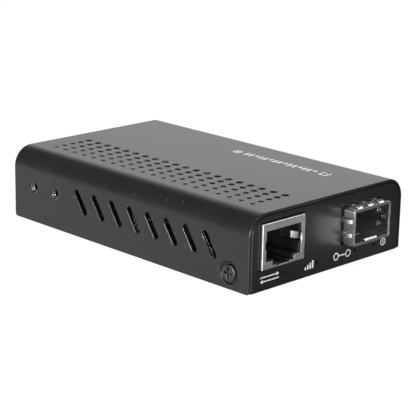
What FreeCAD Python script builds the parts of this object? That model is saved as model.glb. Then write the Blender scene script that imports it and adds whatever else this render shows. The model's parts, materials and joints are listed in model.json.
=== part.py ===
import FreeCAD, Part
import os
import re
import Sketcher

# Fibre media converter in a folded steel case.
# Millimetres. +Z is up, the ports look along -Y, the origin is the centre of the underside.

doc = FreeCAD.newDocument("FibreMediaConverter")
sheet = doc.addObject("Spreadsheet::Sheet", "Dims")
Vector = FreeCAD.Vector
Rotation = FreeCAD.Rotation

SIZES = (
    # Case
    ("CaseWidth", 62.5, "outside width of the top cover"),
    ("CaseLength", 98.0, "front face to rear face"),
    ("CaseHeight", 21.4, "underside to the top of the cover"),
    ("CoverSheet", 0.8, "sheet of the top cover"),
    ("CoverBend", 6.0, "outer radius of the two long bends of the cover"),
    ("TraySheet", 1.0, "sheet of the base tray"),
    ("CoverCorner", 0.8, "radius of the lower corners of the cover's sides"),
    ("TrayBend", 0.3, "inner radius of the tray's bends"),
    ("TrayCorner", 0.4, "outer radius of the tray's grooved bends"),
    ("PanelGap", 0.2, "tray to the inside of the cover"),
    ("FlangeHeight", 7.0, "height of the tray's side flanges"),
    ("CornerSlit", 0.5, "relief slit between a side flange and an end panel"),
    # Round vents in the top: every row has its own diameter
    ("VentRows", 5, "rows of vents"),
    ("VentColumns", 20, "vents in a row"),
    ("VentFirstRow", 21.77, "first row to the centre line"),
    ("VentRowPitch", 3.166, "row to row"),
    ("VentColumnPitch", 4.294, "vent to vent along the case"),
    ("VentSmallest", 1.2, "diameter in the first row"),
    ("VentGrowth", 0.2, "step in diameter from row to row"),
    # Slanted slots in both sides
    ("SlotCount", 8, "slots in a side"),
    ("SlotPitch", 7.52, "slot to slot"),
    ("SlotWidth", 1.8, "width of a slot"),
    ("SlotFromFront", 12.8, "front face to the low end of the first slot"),
    ("SlotLow", 8.0, "height of the low ends"),
    ("SlotRise", 5.15, "rise from low end to high end"),
    ("SlotLean", 3.5, "shift to the rear from low end to high end"),
    # Screws
    ("ThreadSize", 3.0, "thread of all screws"),
    ("ThreadFit", 0.05, "thread to its hole, on the diameter"),
    ("ScrewPass", 0.3, "clearance hole over the thread, on the diameter"),
    ("RecessWidth", 0.75, "width of an arm of the cross recess"),
    ("RecessDepth", 0.9, "depth of the cross recess"),
    ("CoverScrewHead", 4.7, "head diameter of the cover screws"),
    ("CoverScrewHeadHeight", 0.7, "head height of the cover screws"),
    ("CoverScrewLength", 3.55, "cover screw under its head"),
    ("CoverScrewFromFront", 7.2, "front face to the cover screws"),
    ("CoverScrewUp", 4.6, "height of the cover screws"),
    ("ScrewSeat", 6.0, "diameter of the sunk seat of a cover screw"),
    ("ScrewSeatDepth", 0.45, "depth of the sunk seat in the sheet"),
    ("CoverRecessDepth", 0.6, "depth of the cross recess of the cover screws"),
    ("FlangeCollar", 0.8, "wall of the drawn collar round a tapped hole"),
    ("FlangeCollarReach", 1.0, "how far the tray's drawn collars reach inward"),
    ("BracketTap", 3.3, "hole of the tapped bracket holes"),
    ("BracketPitch", 9.7, "bracket hole to bracket hole"),
    ("BracketFromRear", 9.1, "rear face to the rear bracket hole"),
    ("BracketUp", 10.6, "height of the bracket holes"),
    ("BracketDepth", 2.0, "tapped depth from the outside of the cover"),
    # Hooks that hold the rear of the cover
    ("HookWidth", 5.0, "width of a hook"),
    ("HookSheet", 0.8, "sheet of a hook"),
    ("HookFromSide", 8.7, "side of the case to the middle of a hook"),
    ("HookFoot", 6.0, "length of the welded foot"),
    ("HookDrop", 4.0, "foot to tongue"),
    ("HookStep", 0.8, "leg of the hook to the rear panel"),
    ("HookSlotGap", 0.2, "tongue to the edges of its slot"),
    # Circuit board and what carries it
    ("StandoffHeight", 3.5, "tray to board"),
    ("StandoffSize", 5.0, "diameter of a standoff"),
    ("StandoffShank", 4.2, "diameter of the shank pressed into the tray"),
    ("StandoffSink", 0.1, "shank end above the underside of the tray"),
    ("BoardThick", 1.6, "thickness of the board"),
    ("BoardSideGap", 1.05, "side flange to board"),
    ("BoardFrontGap", 0.5, "front panel to board"),
    ("BoardRearGap", 1.5, "board to rear panel"),
    ("BoardScrewFromSide", 6.05, "side of the case to the board screws"),
    ("BoardScrewBehindJack", 3.3, "shield of the copper port to the front pair of board screws"),
    ("BoardScrewFromRear", 7.5, "rear face to the rear pair of board screws"),
    ("BoardScrewHead", 5.4, "head diameter of the board screws"),
    ("BoardScrewHeadHeight", 1.9, "head height of the board screws"),
    ("BoardScrewLength", 4.6, "board screw under its head"),
    ("NotchGap", 0.35, "cover screw tip to its notch in the board"),
    ("NotchWidth", 6.0, "width of that notch"),
    ("PinFit", 0.2, "pin or peg to its hole in the board, on the diameter"),
    ("PinReach", 1.2, "pins below the board"),
    # Copper port
    ("JackFromSide", 12.4, "left side of the case to the middle of the copper port"),
    ("JackWidth", 16.4, "width of the shield"),
    ("JackTopGap", 2.05, "top cover to the shield"),
    ("JackDepth", 18.0, "depth of the shield"),
    ("JackProud", 0.8, "shield ahead of the front panel"),
    ("JackSheet", 0.3, "sheet of the shield"),
    ("JackPanelGap", 0.35, "shield to its cut-out"),
    ("MouthWidth", 13.6, "mouth in the shield"),
    ("MouthLow", 2.05, "lower edge of the mouth above the board"),
    ("MouthTop", 2.05, "top of the shield to the upper edge of the mouth"),
    ("LatchWidth", 8.4, "first step of the latch notch"),
    ("LatchLow", 0.75, "floor of the first step above the board"),
    ("KeyWidth", 5.2, "second step of the latch notch"),
    ("KeyLow", 0.35, "floor of the second step above the board"),
    ("InsertFit", 0.1, "insert to the inside of the shield"),
    ("InsertLip", 0.7, "insert showing inside the mouth, at the sides"),
    ("InsertRim", 0.25, "insert showing inside the mouth, above and below"),
    ("PlugDepth", 12.5, "depth of the plug space from the front of the shield"),
    ("PegSize", 3.1, "diameter of the insert's two pegs"),
    ("PegSpread", 11.4, "peg to peg"),
    ("PegBack", 9.0, "front of the shield to the pegs"),
    ("PegReach", 2.6, "length of the pegs below the insert"),
    ("EarthUp", 6.5, "middle of the earthing fingers above the board"),
    ("EarthWidth", 2.0, "width of an earthing finger"),
    ("EarthBend", 0.6, "outer radius of a finger's bend round the mouth's edge"),
    ("EarthRoot", 1.5, "end of the straight root of a finger behind the shield's front"),
    ("EarthCrest", 3.2, "front of the shield to the crest of a finger"),
    ("EarthBow", 0.95, "how far a finger bows in from the mouth's edge"),
    ("EarthLength", 6.4, "length of a finger"),
    ("EarthTip", 0.5, "tip of a finger in from the mouth's edge"),
    ("EarthWindow", 0.3, "finger to the edges of its window in the insert"),
    ("TailWidth", 1.5, "width of the shield's two board tails"),
    ("TailBack", 12.2, "front of the shield to its tails"),
    ("WireCount", 8, "spring wires"),
    ("WirePitch", 1.02, "wire to wire"),
    ("WireSize", 0.35, "side of a wire"),
    ("WireSlot", 0.9, "height of the wires' channel"),
    ("WireFront", 4.5, "front of the shield to the front bend of the wires"),
    ("WireRear", 15.0, "front of the shield to the wires' tails"),
    ("WireSlope", 4.2, "length of the sloping ends"),
    ("WireDip", 2.7, "fall of the sloping ends"),
    # Fibre port
    ("CageFromSide", 17.8, "right side of the case to the middle of the fibre port"),
    ("CageProud", 4.13, "cage ahead of the front panel"),
    ("CageLength", 48.7, "length of the cage"),
    ("CageSheet", 0.3, "sheet of the cage"),
    ("CageLift", 0.65, "collar above the board"),
    ("CageCorner", 0.5, "outer radius of the collar's long edges"),
    ("CollarWidth", 15.4, "width over the collar"),
    ("CollarHeight", 9.9, "height over the collar"),
    ("CollarSheet", 0.2, "sheet of the collar"),
    ("CollarRim", 0.65, "closed rim at the front of the collar"),
    ("CollarReach", 4.2, "length of the collar"),
    ("SpringGap", 0.5, "collar to its cut-out in the front panel"),
    ("SpringBow", 0.62, "crown of the spring fingers over the collar"),
    ("SpringCrown", 2.1, "rim to the crown of a finger"),
    ("SpringTip", 5.2, "rim to the tip of a finger"),
    ("SpringTipUp", 0.1, "tip of a finger over the collar"),
    ("SpringRoot", 0.3, "finger under the rim"),
    ("SpringSplit", 0.35, "slit in the middle of the upper and lower fingers"),
    ("TopSpringWidth", 2.7, "width of the upper and lower fingers"),
    ("TopSpringPitch", 4.55, "finger to finger above and below"),
    ("TopSpringCount", 3, "fingers above, and as many below"),
    ("SideSpringWidth", 1.15, "width of the side fingers"),
    ("SideSpringPitch", 3.9, "finger to finger at the sides"),
    ("SideSpringCount", 2, "fingers at each side"),
    ("SideSpringUp", 2.9, "underside of the collar to the lowest side finger"),
    ("SpringWindow", 0.25, "finger to the edges of its window"),
    ("TongueWidth", 5.4, "width of the latch tongue in the cage floor"),
    ("TongueLength", 8.0, "length of the tongue"),
    ("TongueLip", 0.6, "length of its sloping front lip"),
    ("TongueRise", 0.5, "rise of the tongue behind its lip"),
    ("TongueSlit", 0.4, "slits beside the tongue"),
    ("LatchHoleWidth", 3.0, "width of the three-cornered latch hole in the tongue"),
    ("LatchHoleLength", 2.6, "length of the latch hole"),
    ("LatchHoleBack", 3.0, "mouth of the cage to the latch hole"),
    ("LeafUp", 5.2, "underside of the collar to the middle of the inner leaf springs"),
    ("LeafHeight", 0.8, "height of a leaf"),
    ("LeafBow", 0.7, "how far a leaf leans in"),
    ("LeafFront", 1.8, "mouth of the cage to the tip of a leaf"),
    ("LeafRear", 5.2, "mouth of the cage to the root of a leaf"),
    ("LeafGap", 0.15, "leaf to the edges of its window"),
    ("CageMouthFloor", 12.6, "width of the cage floor's opening for the connector"),
    ("CageMouthLength", 13.0, "length of that opening"),
    ("CagePinCount", 4, "press pins at each side of the cage"),
    ("CagePinPitch", 10.0, "pin to pin"),
    ("CagePinFirst", 11.0, "mouth of the cage to the first pin"),
    ("CagePinSize", 0.8, "length of a pin along the cage"),
    ("CagePinShoulder", 0.4, "shoulder at each side of a pin"),
    ("ConnectorWidth", 12.2, "width of the edge connector"),
    ("ConnectorDepth", 9.2, "depth of the edge connector"),
    ("ConnectorHeight", 5.8, "height of the edge connector"),
    ("ConnectorBack", 1.8, "edge connector to the rear wall of the cage"),
    ("CardSlotWidth", 10.6, "width of the card slot"),
    ("CardSlotHeight", 1.3, "height of the card slot"),
    ("CardSlotUp", 3.4, "floor of the card slot above the board"),
    ("CardSlotDepth", 6.5, "depth of the card slot"),
    ("EdgePitch", 0.8, "edge contact to edge contact"),
    ("EdgeCount", 10, "edge contacts in a row"),
    ("EdgeWidth", 0.3, "width of an edge contact"),
    ("EdgeSheet", 0.2, "sheet of an edge contact"),
    ("EdgeFoot", 0.9, "foot of an edge contact"),
    ("EdgeHeight", 3.0, "height of an edge contact"),
    ("EdgeGroove", 0.1, "edge contact to the edges of its groove"),
    # Status lamps
    ("LampHole", 1.1, "holes for the lamps in the front panel"),
    ("LampUp", 3.5, "height of the lamp holes"),
    ("LampCopper", 0.6, "copper link lamp from the middle of the copper port"),
    ("LampSpeed", 14.3, "speed lamp from the middle of the copper port"),
    ("LampFibre", -2.05, "fibre link lamp from the middle of the fibre port"),
    ("LampPower", 6.15, "power lamp from the middle of the fibre port"),
    ("LampWidth", 2.6, "width of a lamp"),
    ("LampDepth", 1.6, "depth of a lamp"),
    ("LampBase", 2.0, "height of a lamp"),
    ("LampLens", 0.8, "diameter of a lamp's lens"),
    ("LampReach", 0.5, "lens ahead of the lamp"),
    ("LampGap", 0.2, "lamp to the front panel"),
    # DC inlet
    ("InletFromSide", 19.25, "right side of the case to the middle of the DC inlet"),
    ("InletWidth", 9.0, "width of the inlet"),
    ("InletHeight", 11.0, "height of the inlet's front block"),
    ("InletFront", 3.5, "depth of the front block"),
    ("InletDepth", 14.2, "depth of the inlet"),
    ("InletBack", 9.6, "height of the rear block"),
    ("InletUp", 6.4, "axis of the inlet above the board"),
    ("InletBore", 5.7, "bore of the inlet"),
    ("InletBoreDepth", 10.5, "depth of the bore"),
    ("InletGap", 0.2, "inlet to the rear panel"),
    ("InletHole", 8.0, "hole in the rear panel"),
    ("InletPin", 2.0, "diameter of the centre pin"),
    ("InletPinBack", 1.2, "front of the inlet to the tip of the pin"),
    ("InletPinFit", 0.1, "pin to its hole, on the diameter"),
    ("InletTerminal", 2.4, "width of the inlet's terminals"),
    ("InletTerminalSheet", 0.5, "sheet of the terminals"),
    ("InletSpringBack", 8.0, "front of the inlet to the spring's terminal"),
    ("InletSpringFront", 3.0, "front of the inlet to the tip of the spring"),
    ("InletSpringSheet", 0.3, "sheet of the spring"),
    ("InletSpringGap", 0.15, "spring to its groove"),
    # Parts on the board
    ("MagneticsLength", 15.0, "length of the transformer module"),
    ("MagneticsWidth", 7.2, "width of the transformer module"),
    ("MagneticsHeight", 5.6, "height of the transformer module"),
    ("MagneticsBack", 13.0, "shield of the copper port to the middle of the module"),
    ("MagneticsLeads", 12, "leads at each side of the module"),
    ("WidePitch", 1.27, "lead to lead on the module and the small chips"),
    ("WideLead", 0.45, "width of those leads"),
    ("ChipSize", 10.0, "side of the converter chip"),
    ("ChipHeight", 1.4, "height of the converter chip"),
    ("ChipLeads", 12, "leads at each side of the converter chip"),
    ("FinePitch", 0.8, "lead to lead on the converter chip"),
    ("FineLead", 0.35, "width of those leads"),
    ("ChipFromSide", 18.25, "left side of the case to the converter chip"),
    ("ChipFromFront", 44.0, "front face to the converter chip"),
    ("MemoryLength", 4.9, "length of the memory chip"),
    ("MemoryWidth", 3.9, "width of the memory chip"),
    ("MemoryLeads", 4, "leads at each side of the small chips"),
    ("MemoryHeight", 1.6, "height of the memory and regulator chips"),
    ("MemoryFromSide", 7.25, "left side of the case to the memory chip"),
    ("MemoryFromFront", 45.0, "front face to the memory chip"),
    ("RegulatorSide", 1.0, "regulator chip from the centre line"),
    ("RegulatorFromRear", 20.0, "rear face to the regulator chip"),
    ("LeadSheet", 0.2, "sheet of the chips' leads"),
    ("LeadReach", 1.0, "leads beyond the chip"),
    ("LeadFoot", 0.5, "flat foot of a lead"),
    ("ChipFloat", 0.1, "underside of a chip to the board"),
    ("CrystalLength", 11.4, "length of the crystal"),
    ("CrystalWidth", 4.7, "width of the crystal"),
    ("CrystalHeight", 3.4, "height of the crystal"),
    ("CrystalFromSide", 17.25, "left side of the case to the crystal"),
    ("CrystalFromFront", 57.5, "front face to the crystal"),
    ("CoilSize", 7.0, "side of the power inductor"),
    ("CoilHeight", 4.0, "height of the power inductor"),
    ("CoilSide", -9.0, "power inductor from the centre line"),
    ("CoilFromRear", 18.0, "rear face to the power inductor"),
    ("DiodeLength", 4.3, "length of the input diode"),
    ("DiodeWidth", 2.6, "width of the input diode"),
    ("DiodeHeight", 2.2, "height of the input diode"),
    ("DiodeFromRear", 25.0, "rear face to the input diode"),
    ("CanSize", 6.3, "diameter of the electrolytic capacitors"),
    ("CanHeight", 7.7, "height of the electrolytic capacitors"),
    ("CanBase", 6.6, "side of their base"),
    ("CanBaseHeight", 1.0, "height of their base"),
    ("CanNeck", 0.5, "drawn neck above the base"),
    ("CanFromRear", 36.0, "rear face to the electrolytic capacitors"),
    ("CanFromSideA", 19.25, "right side of the case to the first electrolytic capacitor"),
    ("CanFromSideB", 11.25, "right side of the case to the second electrolytic capacitor"),
    ("SmallLength", 1.6, "length of a chip capacitor or resistor"),
    ("SmallWidth", 0.8, "width of a chip capacitor or resistor"),
    ("SmallPitch", 2.4, "small part to small part"),
    ("SmallCount", 6, "small parts in a row"),
    ("SmallCapHeight", 0.8, "height of a chip capacitor"),
    ("SmallResHeight", 0.45, "height of a chip resistor"),
)

for row, (alias, number, note) in enumerate(SIZES, start=1):
    sheet.set(f"A{row}", note)
    sheet.set(f"B{row}", str(number))
    sheet.setAlias(f"B{row}", alias)
doc.recompute()

# Places that several pieces share, as expressions of the sheet's cells
FRONT = "(-CaseLength / 2)"
REAR = "(CaseLength / 2)"
FRONT_INSIDE = "(-CaseLength / 2 + TraySheet)"
REAR_INSIDE = "(CaseLength / 2 - TraySheet)"
COVER_INSIDE = "(CaseWidth / 2 - CoverSheet)"
COVER_UNDER = "(CaseHeight - CoverSheet)"
TRAY_SIDE = "(CaseWidth / 2 - CoverSheet - PanelGap)"
TRAY_TOP = "(CaseHeight - CoverSheet - PanelGap)"
FLANGE_INSIDE = "(CaseWidth / 2 - CoverSheet - PanelGap - TraySheet)"
BOARD_UNDER = "(TraySheet + StandoffHeight)"
BOARD_TOP = "(TraySheet + StandoffHeight + BoardThick)"
COVER_SCREW_Y = "(-CaseLength / 2 + CoverScrewFromFront)"
SCREW_SEAT = "(CaseWidth / 2 - ScrewSeatDepth)"
HOOK_SIDE = "(CaseWidth / 2 - HookFromSide)"
JACK_SIDE = "(JackFromSide - CaseWidth / 2)"
JACK_FRONT = "(-CaseLength / 2 - JackProud)"
JACK_REAR = f"({JACK_FRONT} + JackDepth)"
JACK_HEIGHT = f"({COVER_UNDER} - {BOARD_TOP} - JackTopGap)"
MOUTH_HIGH = f"({JACK_HEIGHT} - MouthTop)"
INSERT_CEILING = f"({MOUTH_HIGH} - InsertRim)"
CAGE_SIDE = "(CaseWidth / 2 - CageFromSide)"
CAGE_FRONT = "(-CaseLength / 2 - CageProud)"
CAGE_REAR = "(-CaseLength / 2 - CageProud + CageLength)"
INLET_SIDE = "(CaseWidth / 2 - InletFromSide)"
INLET_FRONT = "(CaseLength / 2 - TraySheet - InletGap)"
PIN_DROP = "(BoardThick + PinReach)"
CHIP_SIDE = "(ChipFromSide - CaseWidth / 2)"
CHIP_AT = f"({FRONT} + ChipFromFront)"
MEMORY_SIDE = "(MemoryFromSide - CaseWidth / 2)"
MEMORY_AT = f"({FRONT} + MemoryFromFront)"
CRYSTAL_SIDE = "(CrystalFromSide - CaseWidth / 2)"
CRYSTAL_AT = f"({FRONT} + CrystalFromFront)"
REGULATOR_AT = f"({REAR} - RegulatorFromRear)"
COIL_AT = f"({REAR} - CoilFromRear)"
DIODE_AT = f"({REAR} - DiodeFromRear)"
CAN_AT = f"({REAR} - CanFromRear)"
LAMPS = {
    "Copper": f"({JACK_SIDE} + LampCopper)",
    "Speed": f"({JACK_SIDE} + LampSpeed)",
    "Fibre": f"({CAGE_SIDE} + LampFibre)",
    "Power": f"({CAGE_SIDE} + LampPower)",
}
SIDES = {"left": -1, "right": 1}
SAME_PLACE = 1e-5

nodes = {}


# ---------------------------------------------------------------- small tools

def cells(text):
    """Expression text in which every capitalised word is a cell of the sheet."""
    return re.sub(r"\b([A-Z]\w+)", r"Dims.\1", str(text))


def value(text):
    """What an expression comes to now, as a plain number."""
    found = sheet.evalExpression(cells(text))
    return float(getattr(found, "Value", found))


def count(alias):
    """A whole number from the sheet."""
    return int(round(value(alias)))


def bind(thing, **properties):
    """Bind properties such as Length or x, y and z of the Placement to expressions."""
    for name, text in properties.items():
        path = f"Placement.Base.{name}" if name in ("x", "y", "z") else name
        thing.setExpression(path, cells(text))
    return thing


def node(label, thing):
    """Give a finished piece its name."""
    thing.Label = label
    nodes[label] = thing
    return thing


# ---------------------------------------------------------------- sketches

def new_body(name):
    return doc.addObject("PartDesign::Body", name)


def sketch_on(body, plane, at="0"):
    """New sketch on an XY, XZ or YZ plane of the body, moved to a place on the third axis."""
    sketch = body.newObject("Sketcher::SketchObject", f"{body.Name}_{plane}")
    origin_plane = [item for item in body.Origin.OriginFeatures if item.Role == f"{plane}_Plane"][0]
    sketch.AttachmentSupport = [(origin_plane, "")]
    sketch.MapMode = "FlatFace"
    facing = "-1" if plane == "XZ" else "1"
    sketch.setExpression("AttachmentOffset.Base.z", cells(f"{facing} * ({at})"))
    return sketch


def pin_point(sketch, geometry, point, across, up):
    """Hold a point of the sketch at a place given by two expressions."""
    for kind, text in (("DistanceX", across), ("DistanceY", up)):
        rule = Sketcher.Constraint(kind, -1, 1, geometry, point, value(text))
        number = sketch.addConstraint(rule)
        sketch.setExpression(f"Constraints[{number}]", cells(text))


def outline(sketch, *corners):
    """Closed outline of straight sides through corners given by expressions."""
    places = [Vector(value(across), value(up), 0) for across, up in corners]
    first = sketch.GeometryCount
    total = len(corners)
    for index, start in enumerate(places):
        sketch.addGeometry(Part.LineSegment(start, places[(index + 1) % total]))
    for index in range(total):
        following = (index + 1) % total
        sketch.addConstraint(Sketcher.Constraint("Coincident", first + index, 2, first + following, 1))
    for index, (across, up) in enumerate(corners):
        pin_point(sketch, first + index, 1, across, up)
    return sketch


def rectangle(sketch, left, right, low, high):
    return outline(sketch, (left, low), (right, low), (right, high), (left, high))


def circle(sketch, across, up, diameter):
    centre = Vector(value(across), value(up), 0)
    number = sketch.addGeometry(Part.Circle(centre, Vector(0, 0, 1), value(diameter) / 2))
    pin_point(sketch, number, 3, across, up)
    rule = sketch.addConstraint(Sketcher.Constraint("Diameter", number, value(diameter)))
    sketch.setExpression(f"Constraints[{rule}]", cells(diameter))
    return sketch


def round_slot(sketch, start, end, width):
    """Slot with round ends, from one end centre to the other."""
    begin = Vector(value(start[0]), value(start[1]), 0)
    finish = Vector(value(end[0]), value(end[1]), 0)
    radius = value(width) / 2
    along = (finish - begin).normalize()
    beside = Vector(-along.y, along.x, 0) * radius
    near = Part.Arc(begin + beside, begin - along * radius, begin - beside)
    far = Part.Arc(finish - beside, finish + along * radius, finish + beside)
    lower = Part.LineSegment(begin - beside, finish - beside)
    upper = Part.LineSegment(finish + beside, begin + beside)
    arc_a, arc_b, line_a, line_b = [sketch.addGeometry(piece) for piece in (near, far, lower, upper)]
    sketch.addConstraint(Sketcher.Constraint("Tangent", arc_a, 2, line_a, 1))
    sketch.addConstraint(Sketcher.Constraint("Tangent", line_a, 2, arc_b, 1))
    sketch.addConstraint(Sketcher.Constraint("Tangent", arc_b, 2, line_b, 1))
    sketch.addConstraint(Sketcher.Constraint("Tangent", line_b, 2, arc_a, 1))
    pin_point(sketch, arc_a, 3, *start)
    pin_point(sketch, arc_b, 3, *end)
    rule = sketch.addConstraint(Sketcher.Constraint("Radius", arc_a, radius))
    sketch.setExpression(f"Constraints[{rule}]", cells(f"({width}) / 2"))
    return sketch


# ---------------------------------------------------------------- features of a body

def grow(body, kind, sketch, length, both, reverse):
    """Pad or Pocket, with its direction set and its effect on the volume checked."""
    doc.recompute()
    before = body.Shape.Volume if body.Tip else 0.0
    feature = body.newObject(f"PartDesign::{kind}", f"{body.Name}_{kind}")
    feature.Profile = sketch
    if length is None:
        feature.Type = "ThroughAll"
    else:
        feature.setExpression("Length", cells(length))
    if both:
        feature.SideType = "Symmetric"
    feature.Reversed = reverse
    doc.recompute()
    change = body.Shape.Volume - before
    if (change <= 0.0) == (kind == "Pad"):
        raise RuntimeError(f"{feature.Name} changes the volume by {change:.4f}")
    return feature


def pad(body, sketch, length, both=False, reverse=False):
    return grow(body, "Pad", sketch, length, both, reverse)


def pocket(body, sketch, length=None, both=False, reverse=False):
    return grow(body, "Pocket", sketch, length, both, reverse)


def repeat(body, feature, sketch, axis, number, pitch, backwards=False):
    """Row of copies of a feature along an axis of its sketch."""
    pattern = body.newObject("PartDesign::LinearPattern", f"{body.Name}_Row")
    pattern.Originals = [feature]
    pattern.Direction = (sketch, [axis])
    pattern.Mode = "Spacing"
    pattern.Reversed = backwards
    pattern.setExpression("Occurrences", cells(number))
    pattern.setExpression("Offset", cells(pitch))
    body.Tip = pattern
    return pattern


def long_edges(body, axis, **places):
    """Names of the body's straight edges along an axis whose other coordinates, in size, are as given."""
    wanted = {name: [abs(value(text)) for text in texts] for name, texts in places.items()}
    found = []
    for number, edge in enumerate(body.Tip.Shape.Edges, start=1):
        start, end = edge.Vertexes[0].Point, edge.Vertexes[-1].Point
        moved = [name for name in "xyz" if abs(getattr(end, name) - getattr(start, name)) > SAME_PLACE]
        at_place = all(any(abs(abs(getattr(start, name)) - place) < SAME_PLACE for place in places)
                       for name, places in wanted.items())
        if moved == [axis] and at_place:
            found.append(f"Edge{number}")
    return found


def top_edges(body):
    """Names of the edges round the body's highest face."""
    shape = body.Tip.Shape
    highest = shape.BoundBox.ZMax - SAME_PLACE
    return [f"Edge{number}" for number, edge in enumerate(shape.Edges, start=1)
            if edge.BoundBox.ZMin > highest]


def round_edges(body, radius, edges):
    """Fillet on the named edges of the body as it is now."""
    base = body.Tip
    fillet = body.newObject("PartDesign::Fillet", f"{body.Name}_Fillet")
    fillet.Base = (base, edges)
    fillet.setExpression("Radius", cells(radius))
    doc.recompute()
    return fillet


# ---------------------------------------------------------------- primitives

def box(name, left, right, front, rear, low, high):
    thing = doc.addObject("Part::Box", name)
    bind(thing, Length=f"({right}) - ({left})", Width=f"({rear}) - ({front})", Height=f"({high}) - ({low})")
    return bind(thing, x=left, y=front, z=low)


def cylinder(name, diameter, height, x="0", y="0", z="0", axis="z"):
    """Cylinder that starts at a place and runs along +X, +Y or +Z."""
    thing = doc.addObject("Part::Cylinder", name)
    thing.Placement.Rotation = Rotation(Vector(0, 0, 1), {"x": Vector(1, 0, 0), "y": Vector(0, 1, 0),
                                                         "z": Vector(0, 0, 1)}[axis])
    bind(thing, Radius=f"({diameter}) / 2", Height=height)
    return bind(thing, x=x, y=y, z=z)


def fuse(name, *shapes):
    thing = doc.addObject("Part::MultiFuse", name)
    thing.Shapes = list(shapes)
    return thing


def cut(name, base, tool):
    thing = doc.addObject("Part::Cut", name)
    thing.Base = base
    thing.Tool = tool
    return thing


def group(name, members):
    """Separate solids that share one node."""
    thing = doc.addObject("Part::Compound", name)
    thing.Links = members
    return thing


def copy_at(source, x="0", y="0", z="0", turn=None):
    """Copy of a piece, moved and turned."""
    link = doc.addObject("App::Link", f"{source.Name}_Copy")
    link.LinkedObject = source
    if turn is not None:
        link.Placement = FreeCAD.Placement(Vector(), turn)
    return bind(link, x=x, y=y, z=z)


# ---------------------------------------------------------------- the case

def make_top_cover():
    """Folded inverted U with vents, slots, drawn bracket holes and screw holes."""
    body = new_body("TopCover")
    outside = "(CaseWidth / 2)"
    profile = sketch_on(body, "XZ")
    outline(profile, (f"-{outside}", "0"), (f"-{outside}", "CaseHeight"), (outside, "CaseHeight"),
            (outside, "0"), (COVER_INSIDE, "0"), (COVER_INSIDE, COVER_UNDER),
            (f"-{COVER_INSIDE}", COVER_UNDER), (f"-{COVER_INSIDE}", "0"))
    pad(body, profile, "CaseLength", both=True)
    round_edges(body, "CoverBend", long_edges(body, "y", x=[outside], z=["CaseHeight"]))
    round_edges(body, "CoverBend - CoverSheet", long_edges(body, "y", x=[COVER_INSIDE], z=[COVER_UNDER]))
    round_edges(body, "CoverCorner", long_edges(body, "x", y=[FRONT], z=["0"]))

    vents = sketch_on(body, "XY")
    for row in range(count("VentRows")):
        circle(vents, f"-VentFirstRow + {row} * VentRowPitch", "-(VentColumns - 1) * VentColumnPitch / 2",
               f"VentSmallest + {row} * VentGrowth")
    first_vents = pocket(body, vents, reverse=True)
    repeat(body, first_vents, vents, "V_Axis", "VentColumns", "VentColumnPitch")

    slots = sketch_on(body, "YZ")
    low_y = "(-CaseLength / 2 + SlotFromFront)"
    round_slot(slots, (low_y, "SlotLow"), (f"{low_y} + SlotLean", "SlotLow + SlotRise"), "SlotWidth")
    first_slot = pocket(body, slots, both=True)
    repeat(body, first_slot, slots, "H_Axis", "SlotCount", "SlotPitch")

    rear_hole = "(CaseLength / 2 - BracketFromRear)"
    places = (rear_hole, f"({rear_hole} - BracketPitch)")
    for sign in SIDES.values():
        collars = sketch_on(body, "YZ", f"{sign} * (CaseWidth / 2 - BracketDepth)")
        for place in places:
            circle(collars, place, "BracketUp", "BracketTap + 2 * FlangeCollar")
        pad(body, collars, "BracketDepth - CoverSheet / 2", reverse=sign < 0)
    holes = sketch_on(body, "YZ")
    for place in places:
        circle(holes, place, "BracketUp", "BracketTap")
    circle(holes, COVER_SCREW_Y, "CoverScrewUp", "ThreadSize + ScrewPass")
    pocket(body, holes, both=True)
    for sign in SIDES.values():
        seat = sketch_on(body, "YZ", f"{sign} * {SCREW_SEAT}")
        circle(seat, COVER_SCREW_Y, "CoverScrewUp", "ScrewSeat")
        pocket(body, seat, "CoverSheet", reverse=sign > 0)
    node("top_cover", body)


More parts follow.
